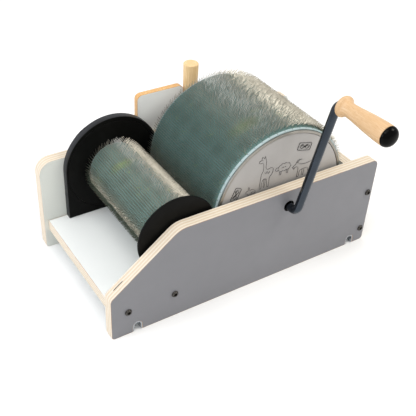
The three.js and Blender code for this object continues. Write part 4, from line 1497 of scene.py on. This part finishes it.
# ---- Arch plate, guard and pick ------------------------------------------------------------
@dataclass
class FarSide:
    """What stands on the drive side: the black arch plate, the guard board and the batt pick."""

    arch_recess: float = 3.4 * MM
    recess_play: float = 0.6 * MM
    axle_play: float = 3 * MM
    guard_radius: float = 8 * MM
    pick_chamfer: float = 1.5 * MM
    pick_foot_radius: float = 10 * MM
    sink_radius: float = 4.95 * MM
    sink_depth: float = 2.6 * MM
    screw_hole: float = 2.65 * MM
    arch: Span = field(default_factory=lambda: Span.of("arch_plate"))
    flange: Round = field(default_factory=lambda: Round.of("licker_flange_left"))
    axle: Round = field(default_factory=lambda: Round.of("licker_axle"))
    guard: Span = field(default_factory=lambda: Span.of("guard_board"))
    handle: Span = field(default_factory=lambda: Span.of("pick_handle"))

    def arch_plate(self) -> None:
        """The black plate behind the feed drum, with the recess that its flange turns in."""
        arch = self.arch
        radius = arch.size(Axis.Y) / 2
        top = arch.high.z - radius
        shape = [(arch.low.y, arch.low.z), (arch.high.y, arch.low.z)]
        shape += [(arch.middle(Axis.Y) + radius * math.cos(math.pi * k / 72),
                   top + radius * math.sin(math.pi * k / 72)) for k in range(73)]
        rim = self.flange.radius + self.recess_play
        recess = turned("cutter", [
            (arch.high.x - self.arch_recess, 0.0), (arch.high.x - self.arch_recess, rim),
            (arch.high.x + 2 * MM, rim), (arch.high.x + 2 * MM, 0.0),
        ], (self.flange.y, self.flange.z), (), sides=120)
        hole = bore([(arch.low.x - 2 * MM, self.axle.radius + self.axle_play),
                     (arch.high.x, self.axle.radius + self.axle_play)], (self.axle.y, self.axle.z))
        made = board("arch_plate_black", shape, Axis.X, arch.low.x, arch.high.x,
                     (BLACK_SHEET, BLACK_EDGE_AND_HOLE_SHADE), Sides(0, 0, 1), (recess, hole), ease=0.6 * MM)
        settle(made, Body.FRAME, Slot.BLACK_PLASTIC, "arch_plate")

    def guard_board(self) -> None:
        """The thin board above the far panel, lipped with pine."""
        guard = self.guard
        shape = outline([
            (guard.high.y, guard.low.z, 0.0), (guard.low.y, guard.low.z, 0.0),
            (guard.low.y, guard.high.z, self.guard_radius), (guard.high.y, guard.high.z, self.guard_radius),
        ])
        screws = [Span.of(f"guard_screw_{end}") for end in ("front", "rear")]
        sinks = [
            bore([
                (guard.low.x - 1 * MM, self.sink_radius + 0.25 * MM), (guard.low.x, self.sink_radius),
                (guard.low.x + self.sink_depth, self.screw_hole), (guard.high.x + 1 * MM, self.screw_hole),
            ], (screw.middle(Axis.Y), screw.middle(Axis.Z)))
            for screw in screws
        ]
        made = board("guard", shape, Axis.X, guard.low.x, guard.high.x, (WHITE_FILM, LIPPING),
                     Sides(0, 0, 1), sinks, ease=0.6 * MM)
        settle(made, Body.FRAME, Slot.PALE_LAMINATE, "guard_board")

    def batt_pick(self) -> None:
        """The dowel handle of the pick, and its spike down in the far panel."""
        handle = self.handle
        top_radius = handle.size(Axis.X) / 2
        foot, cut = self.pick_foot_radius, self.pick_chamfer
        profile = softened([
            (handle.low.z, 0.0), (handle.low.z, foot - cut), (handle.low.z + cut, foot),
            (handle.high.z - cut, top_radius), (handle.high.z, top_radius - cut), (handle.high.z, 0.0),
        ], 0.5 * MM)
        made = turned("pick_dowel", profile, (handle.middle(Axis.X), handle.middle(Axis.Y)), (DOWEL,),
                      along=Axis.Z, sides=64)
        settle(made, Body.PICK, Slot.PICK_WOOD, "pick_handle")
        dress("pick_spike", ZINC)

    def build(self) -> None:
        """Makes every piece of the far side."""
        self.arch_plate()
        self.guard_board()
        self.batt_pick()


# ---- Card cloth ----------------------------------------------------------------------------
@dataclass
class CardCloth:
    """A drum's card cloth: the foundation round the drum, and the wire pins set in it."""

    name: str
    node: str
    body: Body
    slot: Slot
    finish: CardFoundation
    inner_radius: float
    thickness: float
    margin: float
    far_margin: float
    lean: float
    pin_columns: float = 3.1 * MM
    pin_rows: float = 3.1 * MM
    wire_radius: float = 0.36 * MM
    knee_share: float = 0.4
    knee_back: float = 0.35
    foot_depth: float = 0.3 * MM
    tip_share: float = 0.7
    edge: float = 0.4 * MM
    spread: float = 0.08
    seed: int = 1

    def measure(self) -> Round:
        """The CAD sleeve, whose radius is at the pins' tips."""
        return Round.of(self.node)

    def foundation(self) -> None:
        """The cloth itself: teal under the pins, darkened there as painted shade of the pins, and a bare
        paler margin along each edge.
        """
        sleeve = self.measure()
        outer = self.inner_radius + self.thickness
        profile = [
            (sleeve.start, self.inner_radius), (sleeve.start, outer - self.edge),
            (sleeve.start + self.edge, outer), (sleeve.start + self.far_margin, outer),
            (sleeve.end - self.margin, outer), (sleeve.end - self.edge, outer),
            (sleeve.end, outer - self.edge), (sleeve.end, self.inner_radius),
        ]
        made = turned(self.name + "_foundation", profile, (sleeve.y, sleeve.z), (self.finish, MARGIN_CLOTH),
                      (1, 1, 1, 0, 1, 1, 1, 1), sides=160)
        settle(made, self.body, self.slot, self.node)

    def pin(self, height: float) -> bpy.types.Object:
        """One pin: a three-sided wire with a knee, that leans back and then forward.

        Args:
            height: How far it stands above the cloth.

        Returns:
            The pin, its foot at the origin.
        """
        knee = height * self.knee_share
        stations = [(0.0, -self.foot_depth, 1.0), (-self.lean * self.knee_back, knee, 1.0),
                    (self.lean, height, self.tip_share)]
        points = []
        for forward, up, share in stations:
            for k in range(3):
                turn = 2 * math.pi * k / 3
                reach = self.wire_radius * share
                points.append((reach * math.cos(turn), forward + reach * math.sin(turn), up))
        faces = [(2, 1, 0), (6, 7, 8)]
        for base in (0, 3):
            faces += [(base + k, base + (k + 1) % 3, base + (k + 1) % 3 + 3, base + k + 3) for k in range(3)]
        return solid("pin", points, faces, (CARD_WIRE,))

    def wire(self) -> None:
        """The pins, in shifted rows all round the drum."""
        sleeve = self.measure()
        outer = self.inner_radius + self.thickness
        pin = self.pin(sleeve.radius - outer)
        rows = round(2 * math.pi * outer / self.pin_rows)
        width = sleeve.end - sleeve.start - self.margin - self.far_margin
        columns = int(width / self.pin_columns)
        made = pin_jig().run(self.name + "_pins", dots([Vector()]), {
            "Pin": pin, "Finish": CARD_WIRE.make(), "Rows": rows, "Columns": columns,
            "Start": sleeve.start + self.far_margin + (width - columns * self.pin_columns) / 2,
            "Pitch": self.pin_columns, "Radius": outer, "Centre Y": sleeve.y, "Centre Z": sleeve.z,
            "Twill": 3.0, "Spread": self.spread, "Seed": self.seed,
        })
        bpy.data.objects.remove(pin)
        log.info("%s has %d pins", self.name, rows * columns)
        settle(made, self.body, self.slot)

    def build(self) -> None:
        """Makes the cloth and its pins."""
        self.foundation()
        self.wire()


# ---- Printed end disc ----------------------------------------------------------------------
@dataclass(frozen=True)
class Drawing:
    """A line drawing: its lines in a square of 1, and where it stands on the disc in millimetres."""

    lines: tuple[tuple[Point2, ...], ...]
    centre: Point2
    size: Point2
    tilt: float = 0.0

    def placed(self, x: float, y: float, z: float) -> list[list[Vector]]:
        """The lines on the disc.

        Args:
            x: The face they lie on.
            y: The axle's place along Y.
            z: The axle's height.

        Returns:
            The points of each line.
        """
        turn = Matrix.Rotation(math.radians(self.tilt), 2)
        made = []
        for line in self.lines:
            smooth = flowing(line, 4)
            spots = (turn @ Vector(((u - 0.5) * self.size[0], (v - 0.5) * self.size[1])) for u, v in smooth)
            made.append([Vector((x, y + (self.centre[0] + p.x) * MM, z + (self.centre[1] + p.y) * MM))
                         for p in spots])
        return made


ALPACA = (
    ((0.30, 0.97), (0.22, 0.99), (0.20, 0.90), (0.08, 0.88), (0.10, 0.81), (0.30, 0.80),
     (0.36, 0.66), (0.34, 0.52), (0.26, 0.44), (0.24, 0.28), (0.22, 0.02), (0.32, 0.02),
     (0.36, 0.24), (0.60, 0.26), (0.66, 0.02), (0.76, 0.02), (0.78, 0.28), (0.92, 0.38),
     (0.96, 0.52), (0.84, 0.58), (0.60, 0.56), (0.50, 0.64), (0.50, 0.82), (0.44, 0.92),
     (0.40, 0.99), (0.34, 0.92), (0.30, 0.97)),
    ((0.46, 0.30), (0.45, 0.04), (0.52, 0.04), (0.54, 0.27)),
    ((0.44, 0.50), (0.52, 0.44), (0.60, 0.50), (0.68, 0.42), (0.76, 0.48)),
    ((0.24, 0.88), (0.27, 0.89), (0.28, 0.87)),
)
SHEEP = (
    ((0.20, 0.62), (0.24, 0.80), (0.34, 0.84), (0.42, 0.94), (0.54, 0.88), (0.66, 0.94),
     (0.76, 0.84), (0.88, 0.82), (0.90, 0.66), (0.97, 0.56), (0.90, 0.44), (0.84, 0.32),
     (0.70, 0.32), (0.58, 0.26), (0.46, 0.32), (0.34, 0.28), (0.26, 0.38), (0.20, 0.46)),
    ((0.22, 0.66), (0.12, 0.72), (0.03, 0.60), (0.05, 0.46), (0.14, 0.44), (0.22, 0.52)),
    ((0.30, 0.30), (0.30, 0.03), (0.38, 0.03), (0.39, 0.29)),
    ((0.72, 0.31), (0.73, 0.03), (0.81, 0.03), (0.81, 0.32)),
    ((0.40, 0.62), (0.46, 0.56), (0.52, 0.63), (0.60, 0.57), (0.66, 0.64)),
)
GOAT = (
    ((0.12, 0.74), (0.03, 0.66), (0.06, 0.58), (0.18, 0.62), (0.26, 0.56), (0.28, 0.40),
     (0.26, 0.02), (0.33, 0.02), (0.37, 0.34), (0.68, 0.36), (0.72, 0.02), (0.79, 0.02),
     (0.82, 0.38), (0.90, 0.56), (0.98, 0.66), (0.88, 0.70), (0.60, 0.66), (0.38, 0.70),
     (0.26, 0.82), (0.18, 0.84), (0.12, 0.74)),
    ((0.22, 0.84), (0.28, 0.94), (0.40, 0.98)),
    ((0.17, 0.84), (0.22, 0.97), (0.32, 1.00)),
    ((0.12, 0.60), (0.10, 0.48)),
    ((0.46, 0.35), (0.46, 0.04), (0.52, 0.04), (0.54, 0.35)),
)
RABBIT = (
    ((0.10, 0.30), (0.04, 0.44), (0.14, 0.58), (0.26, 0.60), (0.26, 0.96), (0.36, 0.94),
     (0.38, 0.60), (0.60, 0.62), (0.84, 0.50), (0.94, 0.26), (0.90, 0.06), (0.30, 0.05),
     (0.24, 0.20), (0.10, 0.30)),
    ((0.56, 0.08), (0.60, 0.26), (0.76, 0.28)),
)
SKEIN = (
    ((0.04, 0.50), (0.04, 0.80), (0.09, 0.92), (0.25, 0.92), (0.50, 0.92), (0.75, 0.92),
     (0.91, 0.92), (0.96, 0.80), (0.96, 0.50), (0.96, 0.20), (0.91, 0.08), (0.75, 0.08),
     (0.50, 0.08), (0.25, 0.08), (0.09, 0.08), (0.04, 0.20), (0.04, 0.50)),
    ((0.16, 0.50), (0.30, 0.74), (0.50, 0.50), (0.70, 0.26), (0.84, 0.50), (0.70, 0.74),
     (0.50, 0.50), (0.30, 0.26), (0.16, 0.50)),
    ((0.25, 0.50), (0.34, 0.62), (0.50, 0.42), (0.66, 0.62), (0.75, 0.50)),
)


@dataclass
class EndDiscs:
    """The storage drum's two end discs, and the line drawings printed on the near one."""

    wall: float = 12 * MM
    hub_radius: float = 15 * MM
    hub_length: float = 14 * MM
    bore_play: float = 0.15 * MM
    line: float = 1.1 * MM
    heavy_line: float = 1.8 * MM
    near_shaft: float = 9 * MM
    far_shaft: float = 6 * MM
    ink_depth: float = 0.08 * MM

    def drawings(self) -> list[Drawing]:
        """A small flock, standing in a row above the axle.

        Returns:
            The drawings in plain line.
        """
        return [
            Drawing(RABBIT, (-52.0, 30.0), (17.0, 13.0)),
            Drawing(ALPACA, (-30.5, 53.0), (27.0, 51.0)),
            Drawing(SHEEP, (-1.0, 49.0), (27.0, 19.0)),
            Drawing(GOAT, (34.0, 41.0), (41.0, 28.0)),
        ]

    def emblems(self) -> list[Drawing]:
        """Two small framed skeins of yarn.

        Returns:
            The drawings in heavier line.
        """
        return [
            Drawing(SKEIN, (31.0, 74.0), (24.0, 13.5), -14.0),
            Drawing(SKEIN, (-75.5, 31.5), (22.0, 12.0), 66.0),
        ]

    def disc(self, name: str, side: float) -> Round:
        """One end disc with its hub.

        Args:
            name: Its CAD node.
            side: 1 for the near disc and -1 for the far one.

        Returns:
            The disc's measures.
        """
        form = Round.of(name)
        outside = form.end if side > 0 else form.start
        inside = outside - side * self.wall
        bored = (self.near_shaft if side > 0 else self.far_shaft) + self.bore_play
        profile = softened([
            (outside, bored), (outside, form.radius), (inside, form.radius), (inside, self.hub_radius),
            (inside - side * self.hub_length, self.hub_radius), (inside - side * self.hub_length, bored),
        ], 1.1 * MM)
        made = turned(name + "_board", profile, (form.y, form.z), (PRINTED_BOARD,), sides=160)
        settle(made, Body.DRUM, Slot.DRUM_END, name)
        return form

    def printing(self, name: str, drawings: Sequence[Drawing], width: float, form: Round) -> None:
        """Prints drawings on the near disc.

        Args:
            name: The piece's name.
            drawings: What is printed.
            width: The width of its lines.
            form: The near disc's measures.
        """
        lines = [line for drawing in drawings for line in drawing.placed(form.end, form.y, form.z)]
        made = ink_jig().run(name, strokes(lines), {
            "Finish": INK.make(), "Width": width, "Depth": self.ink_depth,
        })
        settle(made, Body.DRUM, Slot.DRUM_END)

    def build(self) -> None:
        """Makes both discs and their printing."""
        near = self.disc("drum_end_right", 1.0)
        self.disc("drum_end_left", -1.0)
        self.printing("printed_flock", self.drawings(), self.line, near)
        self.printing("printed_skeins", self.emblems(), self.heavy_line, near)


# ---- Storage drum --------------------------------------------------------------------------
@dataclass
class StorageDrum:
    """The large drum: an aluminium tube with end discs, covered with card cloth, on its axle."""

    wall: float = 3.5 * MM
    cloth_seat: float = 0.3 * MM
    cloth_thickness: float = 1.7 * MM
    pin_margin: float = 3.2 * MM
    far_margin: float = 1.5 * MM
    pin_lean: float = 2.4 * MM
    staple_pitch: float = 12 * MM
    shell: Round = field(default_factory=lambda: Round.of("drum_shell"))
    cloth: Round = field(default_factory=lambda: Round.of("drum_card_cloth"))

    def tube(self) -> None:
        """The tube, whose filed end shows round the printed disc."""
        shell = self.shell
        profile = softened([
            (shell.start, shell.radius - self.wall), (shell.start, shell.radius),
            (shell.end, shell.radius), (shell.end, shell.radius - self.wall),
        ], 0.5 * MM)
        made = turned("drum_tube", profile, (shell.y, shell.z), (TUBE,), sides=160)
        settle(made, Body.DRUM, Slot.DRUM_TUBE, "drum_shell")

    def staples(self) -> None:
        """The staples that hold the cloth's two edges down."""
        outer = self.shell.radius + self.cloth_seat + self.cloth_thickness
        staple = turned("staple", [(0.0, 0.0), (0.0, 0.45 * MM), (2.6 * MM, 0.45 * MM), (2.6 * MM, 0.0)],
                        (0.0, 0.0), (ZINC,), sides=8)
        count = round(2 * math.pi * outer / self.staple_pitch)
        points = []
        for edge in (self.cloth.start + 0.7 * MM, self.cloth.end - 3.3 * MM):
            for k in range(count):
                angle = 2 * math.pi * k / count
                points.append(Vector((edge, self.cloth.y + outer * math.cos(angle),
                                      self.cloth.z + outer * math.sin(angle))))
        made = fastener_jig().run("cloth_staples", dots(points), {
            "Piece": staple, "Finish": ZINC.make(), "Turn": 0.0, "Seed": 2,
        })
        bpy.data.objects.remove(staple)
        settle(made, Body.DRUM, Slot.STEEL)

    def build(self) -> None:
        """Makes the drum with its discs, cloth and axle."""
        self.tube()
        EndDiscs().build()
        CardCloth("storage_cloth", "drum_card_cloth", Body.DRUM, Slot.DRUM_CLOTH, DRUM_CLOTH,
                  self.shell.radius + self.cloth_seat, self.cloth_thickness, self.pin_margin,
                  self.far_margin, self.pin_lean, seed=11).build()
        self.staples()
        for name in ("drum_axle", "crank_pin", "drum_pulley_grub_screw"):
            dress(name, ZINC)
        dress("drum_spacer", NYLON)


# ---- Feed drum -----------------------------------------------------------------------------
@dataclass
class FeedDrum:
    """The small drum that takes the wool in: beech core, card cloth, and a black flange each end."""

    bore_play: float = 0.15 * MM
    cloth_seat: float = 0.3 * MM
    cloth_thickness: float = 1.7 * MM
    pin_margin: float = 1.2 * MM
    pin_lean: float = 2.6 * MM
    rim_round: float = 1.6 * MM
    core: Round = field(default_factory=lambda: Round.of("licker_core"))
    axle: Round = field(default_factory=lambda: Round.of("licker_axle"))

    def flange(self, node_name: str, name: str, rounding: float) -> None:
        """A black flange.

        Args:
            node_name: Its CAD node.
            name: The piece's name.
            rounding: How far its rim is rounded.
        """
        form = Round.of(node_name)
        bored = self.axle.radius + self.bore_play
        profile = softened([
            (form.start, bored), (form.start, form.radius), (form.end, form.radius), (form.end, bored),
        ], rounding, 5)
        made = turned(name, profile, (form.y, form.z), (BLACK_SHEET,), sides=128)
        settle(made, Body.LICKER, Slot.BLACK_PLASTIC, node_name)

    def build(self) -> None:
        """Makes the feed drum."""
        self.flange("licker_flange_right", "feed_flange_near", self.rim_round)
        self.flange("licker_flange_left", "feed_flange_far", 0.6 * MM)
        CardCloth("feed_cloth", "licker_card_cloth", Body.LICKER, Slot.LICKER_CLOTH, FEED_CLOTH,
                  self.core.radius + self.cloth_seat, self.cloth_thickness, self.pin_margin,
                  self.pin_margin, self.pin_lean, seed=17).build()
        dress("licker_core", BEECH)
        dress("licker_axle", ZINC)
        dress("licker_pulley_grub_screw", ZINC)


# ---- Crank ---------------------------------------------------------------------------------
@dataclass
class Crank:
    """The crank: one steel rod bent twice, with a turned beech grip and its black cap."""

    rod_radius: float = 6 * MM
    bend: float = 10 * MM
    bore_play: float = 0.1 * MM
    mouth: float = 5 * MM
    pocket: float = 13 * MM
    plug_radius: float = 9 * MM
    plug_length: float = 8 * MM
    cap_seat: float = 0.3 * MM
    grip_profile: tuple[Point2, ...] = (
        (9, 0), (11.8, 0), (13.4, 0.8), (14.2, 3.2), (13.7, 5.5), (11.4, 7.8), (10.1, 11), (9.6, 14.5),
        (9.8, 19), (10.2, 26), (11.2, 36), (12.3, 48), (13.1, 60), (13.7, 71), (13.6, 79.5),
    )
    cap_profile: tuple[Point2, ...] = (
        (0, 10), (4, 9.7), (8, 8.6), (11, 6.6), (12.8, 4), (13.5, 1.6), (13.5, 0.8),
    )
    rod: Span = field(default_factory=lambda: Span.of("crank_rod"))
    grip: Round = field(default_factory=lambda: Round.of("handle_grip"))
    drum: Round = field(default_factory=lambda: Round.of("drum_shell"))

    def bent_rod(self) -> None:
        """The rod: out of the axle, up the arm and out again into the grip."""
        arm_x = self.grip.start - 2 * MM - self.rod_radius
        line = [
            Vector((self.rod.low.x, self.drum.y, self.drum.z)), Vector((arm_x, self.drum.y, self.drum.z)),
            Vector((arm_x, self.grip.y, self.grip.z)), Vector((self.rod.high.x, self.grip.y, self.grip.z)),
        ]
        made = rod_jig().run("crank_bar", strokes([line]), {
            "Finish": BLUED.make(), "Radius": self.rod_radius, "Bend": self.bend, "Sides": 32,
        })
        settle(made, Body.DRUM, Slot.CRANK_STEEL, "crank_rod")

    def wooden_grip(self) -> None:
        """The beech grip, bored for the rod and pocketed for the cap."""
        grip = self.grip
        bored = self.rod_radius + self.bore_play
        outer = [(grip.start + x, r) for r, x in flowing([(r * MM, x * MM) for r, x in self.grip_profile], 5)]
        profile = [
            (grip.start + self.mouth, bored), *outer,
            (grip.end - 0.15 * MM, 13.45 * MM), (grip.end, 13.0 * MM),
            (grip.end, self.plug_radius), (grip.end - self.pocket, self.plug_radius),
            (grip.end - self.pocket, bored),
        ]
        made = turned("crank_grip", profile, (grip.y, grip.z), (BEECH,), sides=96)
        settle(made, Body.HANDLE, Slot.BEECH, "handle_grip")

    def end_cap(self) -> None:
        """The domed black cap, plugged into the grip."""
        grip = self.grip
        plug = self.plug_radius - 0.15 * MM
        dome = [(grip.end + x, r) for r, x in flowing([(r * MM, x * MM) for r, x in self.cap_profile], 6)]
        dome[0] = (dome[0][0], 0.0)
        profile = [
            *dome, (grip.end + self.cap_seat, 13.1 * MM), (grip.end + self.cap_seat, plug),
            (grip.end - self.plug_length, plug), (grip.end - self.plug_length, plug - 2 * MM),
            (grip.end + self.cap_seat, plug - 2 * MM), (grip.end + self.cap_seat, 0.0),
        ]
        made = turned("crank_cap", profile, (grip.y, grip.z), (GLOSS_CAP,), sides=96)
        settle(made, Body.HANDLE, Slot.GLOSS_BLACK, "handle_cap")

    def build(self) -> None:
        """Makes the crank."""
        self.bent_rod()
        self.wooden_grip()
        self.end_cap()
        dress("handle_retaining_ring", ZINC)


# ---- Drive ---------------------------------------------------------------------------------
@dataclass
class Drive:
    """The pulleys on the far side, the crossed band that joins them, and the drums' bushes."""

    band_radius: float = 2.5 * MM
    band_pass: float = 3 * MM
    groove_play: float = 0.6 * MM
    lip: float = 2 * MM
    land: float = 1 * MM
    hub: float = 8 * MM
    hub_wall: float = 5 * MM
    bore_play: float = 0.15 * MM
    drum_shaft: float = 6 * MM
    drum_pulley: Round = field(default_factory=lambda: Round.of("drum_pulley"))
    licker_pulley: Round = field(default_factory=lambda: Round.of("licker_pulley"))
    licker_axle: Round = field(default_factory=lambda: Round.of("licker_axle"))

    def pulley(self, name: str, body: Body, form: Round, shaft: float) -> None:
        """A grooved pulley with a hub.

        Args:
            name: Its CAD node.
            body: The body that it turns with.
            form: Its measures.
            shaft: Its shaft's radius.
        """
        face = form.start + self.hub
        middle = (face + form.end) / 2
        half = self.band_radius + self.groove_play
        floor = form.radius - self.lip - half
        bored = shaft + self.bore_play
        hub = min(floor, shaft + self.hub_wall)
        groove = [(middle + half * math.cos(a), floor + half - half * math.sin(a))
                  for a in (math.radians(d) for d in range(0, 181, 15))]
        profile = [
            (form.end, bored), (form.end, form.radius), (middle + half + self.land, form.radius), *groove,
            (middle - half - self.land, form.radius), (face, form.radius), (face, hub),
            (form.start, hub), (form.start, bored),
        ]
        made = turned(name + "_wheel", profile, (form.y, form.z), (BLACK_SHEET,), sides=96)
        settle(made, body, Slot.BLACK_PLASTIC, name)

    def band(self) -> None:
        """The crossed band: over the top of one pulley and under the other, so the drums turn
        opposite ways. Each run moves aside where they cross."""
        small, large = (form.radius - self.lip for form in (self.drum_pulley, self.licker_pulley))
        x = (self.drum_pulley.start + self.hub + self.drum_pulley.end) / 2
        z, y_drum, y_feed = self.drum_pulley.z, self.drum_pulley.y, self.licker_pulley.y
        reach = math.acos((small + large) / (y_drum - y_feed))
        crossing = small / (small + large)

        def on(y: float, radius: float, angle: float) -> Vector:
            """A point on a pulley's pitch circle."""
            return Vector((x, y + radius * math.cos(angle), z + radius * math.sin(angle)))

        def arc(y: float, radius: float, start: float, end: float, steps: int) -> list[Vector]:
            """The band's stretch round a pulley."""
            return [on(y, radius, start + (end - start) * i / steps) for i in range(steps + 1)]

        def run(a: Vector, b: Vector, side: float, from_drum: bool, steps: int = 24) -> list[Vector]:
            """A straight run that moves aside at the crossing.

            Args:
                a: Where it leaves a pulley.
                b: Where it meets the other.
                side: 1 to move towards +X and -1 to move towards -X.
                from_drum: Whether it leaves the drum's pulley.
                steps: Pieces in the run.

            Returns:
                The points between its ends.
            """
            made = []
            for i in range(1, steps):
                t = i / steps
                share = t if from_drum else 1 - t
                near = share / crossing if share < crossing else (1 - share) / (1 - crossing)
                aside = near * near * (3 - 2 * near) * self.band_pass * side
                made.append(a.lerp(b, t) + Vector((aside, 0.0, 0.0)))
            return made

        pi = math.pi
        path = [
            *arc(y_drum, small, pi - reach, -pi + reach, 32),
            *run(on(y_drum, small, pi + reach), on(y_feed, large, reach), 1.0, True),
            *arc(y_feed, large, reach, 2 * pi - reach, 64),
            *run(on(y_feed, large, -reach), on(y_drum, small, pi - reach), -1.0, False),
        ]
        made = rod_jig().run("crossed_band", strokes([path], closed=True), {
            "Finish": BELT.make(), "Radius": self.band_radius, "Bend": 0.0, "Sides": 16,
        })
        settle(made, Body.FRAME, Slot.BAND, "drive_band")

    def build(self) -> None:
        """Makes the drive and dresses the bushes."""
        self.pulley("drum_pulley", Body.DRUM, self.drum_pulley, self.drum_shaft)
        self.pulley("licker_pulley", Body.LICKER, self.licker_pulley, self.licker_axle.radius)
        self.band()
        for name in ("drum_bush_right", "licker_bush_right", "drum_bush_left", "licker_bush_left"):
            dress(name, NYLON)


# ---- Studio --------------------------------------------------------------------------------
@dataclass
class Studio:
    """A pale floor, soft light, and the camera."""

    camera_place: Vector = field(default_factory=lambda: Vector((0.6731, -0.4897, 0.7222)))
    azimuth: float = 55.5
    elevation: float = 37.4
    roll: float = 3.5
    focal: float = 64.81
    sensor: float = 36.0
    shift: Point2 = (-0.0021, 0.0028)
    floor_size: float = 12.0
    floor_colour: str = "#fbfbfa"
    sky: float = 0.78
    aim_height: float = 0.12

    def camera(self) -> None:
        """The camera, looking down on the crank side from the front."""
        a, e, r = (math.radians(v) for v in (self.azimuth, self.elevation, self.roll))
        back = Vector((math.sin(a) * math.cos(e), -math.cos(a) * math.cos(e), math.sin(e)))
        across = Vector((0.0, 0.0, 1.0)).cross(back).normalized()
        up = back.cross(across)
        right = across * math.cos(r) + up * math.sin(r)
        top = up * math.cos(r) - across * math.sin(r)
        data = bpy.data.cameras.new("camera")
        data.sensor_width = self.sensor
        data.lens = self.focal
        data.shift_x, data.shift_y = self.shift
        data.clip_start = 0.01
        made = bpy.data.objects.new("camera", data)
        turn = Matrix((right, top, back)).transposed().to_4x4()
        made.matrix_world = Matrix.Translation(self.camera_place) @ turn
        bpy.context.scene.collection.objects.link(made)
        bpy.context.scene.camera = made

    def floor(self) -> None:
        """A wide matt floor."""
        half = self.floor_size / 2
        mesh = bpy.data.meshes.new("floor")
        corners = [(-half, -half, 0), (half, -half, 0), (half, half, 0), (-half, half, 0)]
        mesh.from_pydata(corners, [], [(0, 1, 2, 3)])
        mesh.materials.append(Laminate("studio floor", 0.8, colour=self.floor_colour, cloud="#f6f6f5",
                                       cloud_size=400 * MM).make())
        new_object("floor", mesh)

    def light(self, name: str, place: Point2, height: float, size: float, power: float, colour: str) -> None:
        """A square soft light aimed at the machine.

        Args:
            name: Its name.
            place: Where it hangs, as (x, y).
            height: How high it hangs.
            size: Its side.
            power: Its power in watts.
            colour: Its colour.
        """
        data = bpy.data.lights.new(name, "AREA")
        data.shape = "SQUARE"
        data.size = size
        data.energy = power
        data.color = linear(colour)[:3]
        made = bpy.data.objects.new(name, data)
        spot = Vector((*place, height))
        aim = Vector((0.0, 0.0, self.aim_height)) - spot
        made.matrix_world = Matrix.Translation(spot) @ aim.to_track_quat("-Z", "Y").to_matrix().to_4x4()
        bpy.context.scene.collection.objects.link(made)

    def world(self) -> None:
        """An even pale sky, for soft fill."""
        world = bpy.data.worlds.new("sky")
        world.use_nodes = True
        tree = world.node_tree
        tree.nodes.clear()
        sky = node(tree, "ShaderNodeBackground", {"Color": linear("#ffffff"), "Strength": self.sky})
        node(tree, "ShaderNodeOutputWorld", {"Surface": sky.outputs[0]})
        bpy.context.scene.world = world

    def build(self) -> None:
        """Sets the stage."""
        self.camera()
        self.floor()
        self.world()
        self.light("key", (0.7, 1.1), height=1.5, size=0.7, power=13.0, colour="#fffaf2")
        self.light("top", (0.1, -0.7), height=1.7, size=1.4, power=13.0, colour="#ffffff")
        self.light("side", (-0.25, -1.45), height=0.62, size=0.6, power=5.5, colour="#dfeaff")
        self.light("glint", (0.15, -1.0), height=1.5, size=0.14, power=2.0, colour="#ffffff")
        bpy.context.scene.view_settings.view_transform = "Standard"


def main() -> None:
    """Builds the machine and its stage."""
    logging.basicConfig(level=logging.INFO, format="%(message)s")
    Studio().build()
    for part in (Cabinet(), Fasteners(), FarSide(), StorageDrum(), FeedDrum(), Crank(), Drive()):
        part.build()


if __name__ == "__main__":
    main()
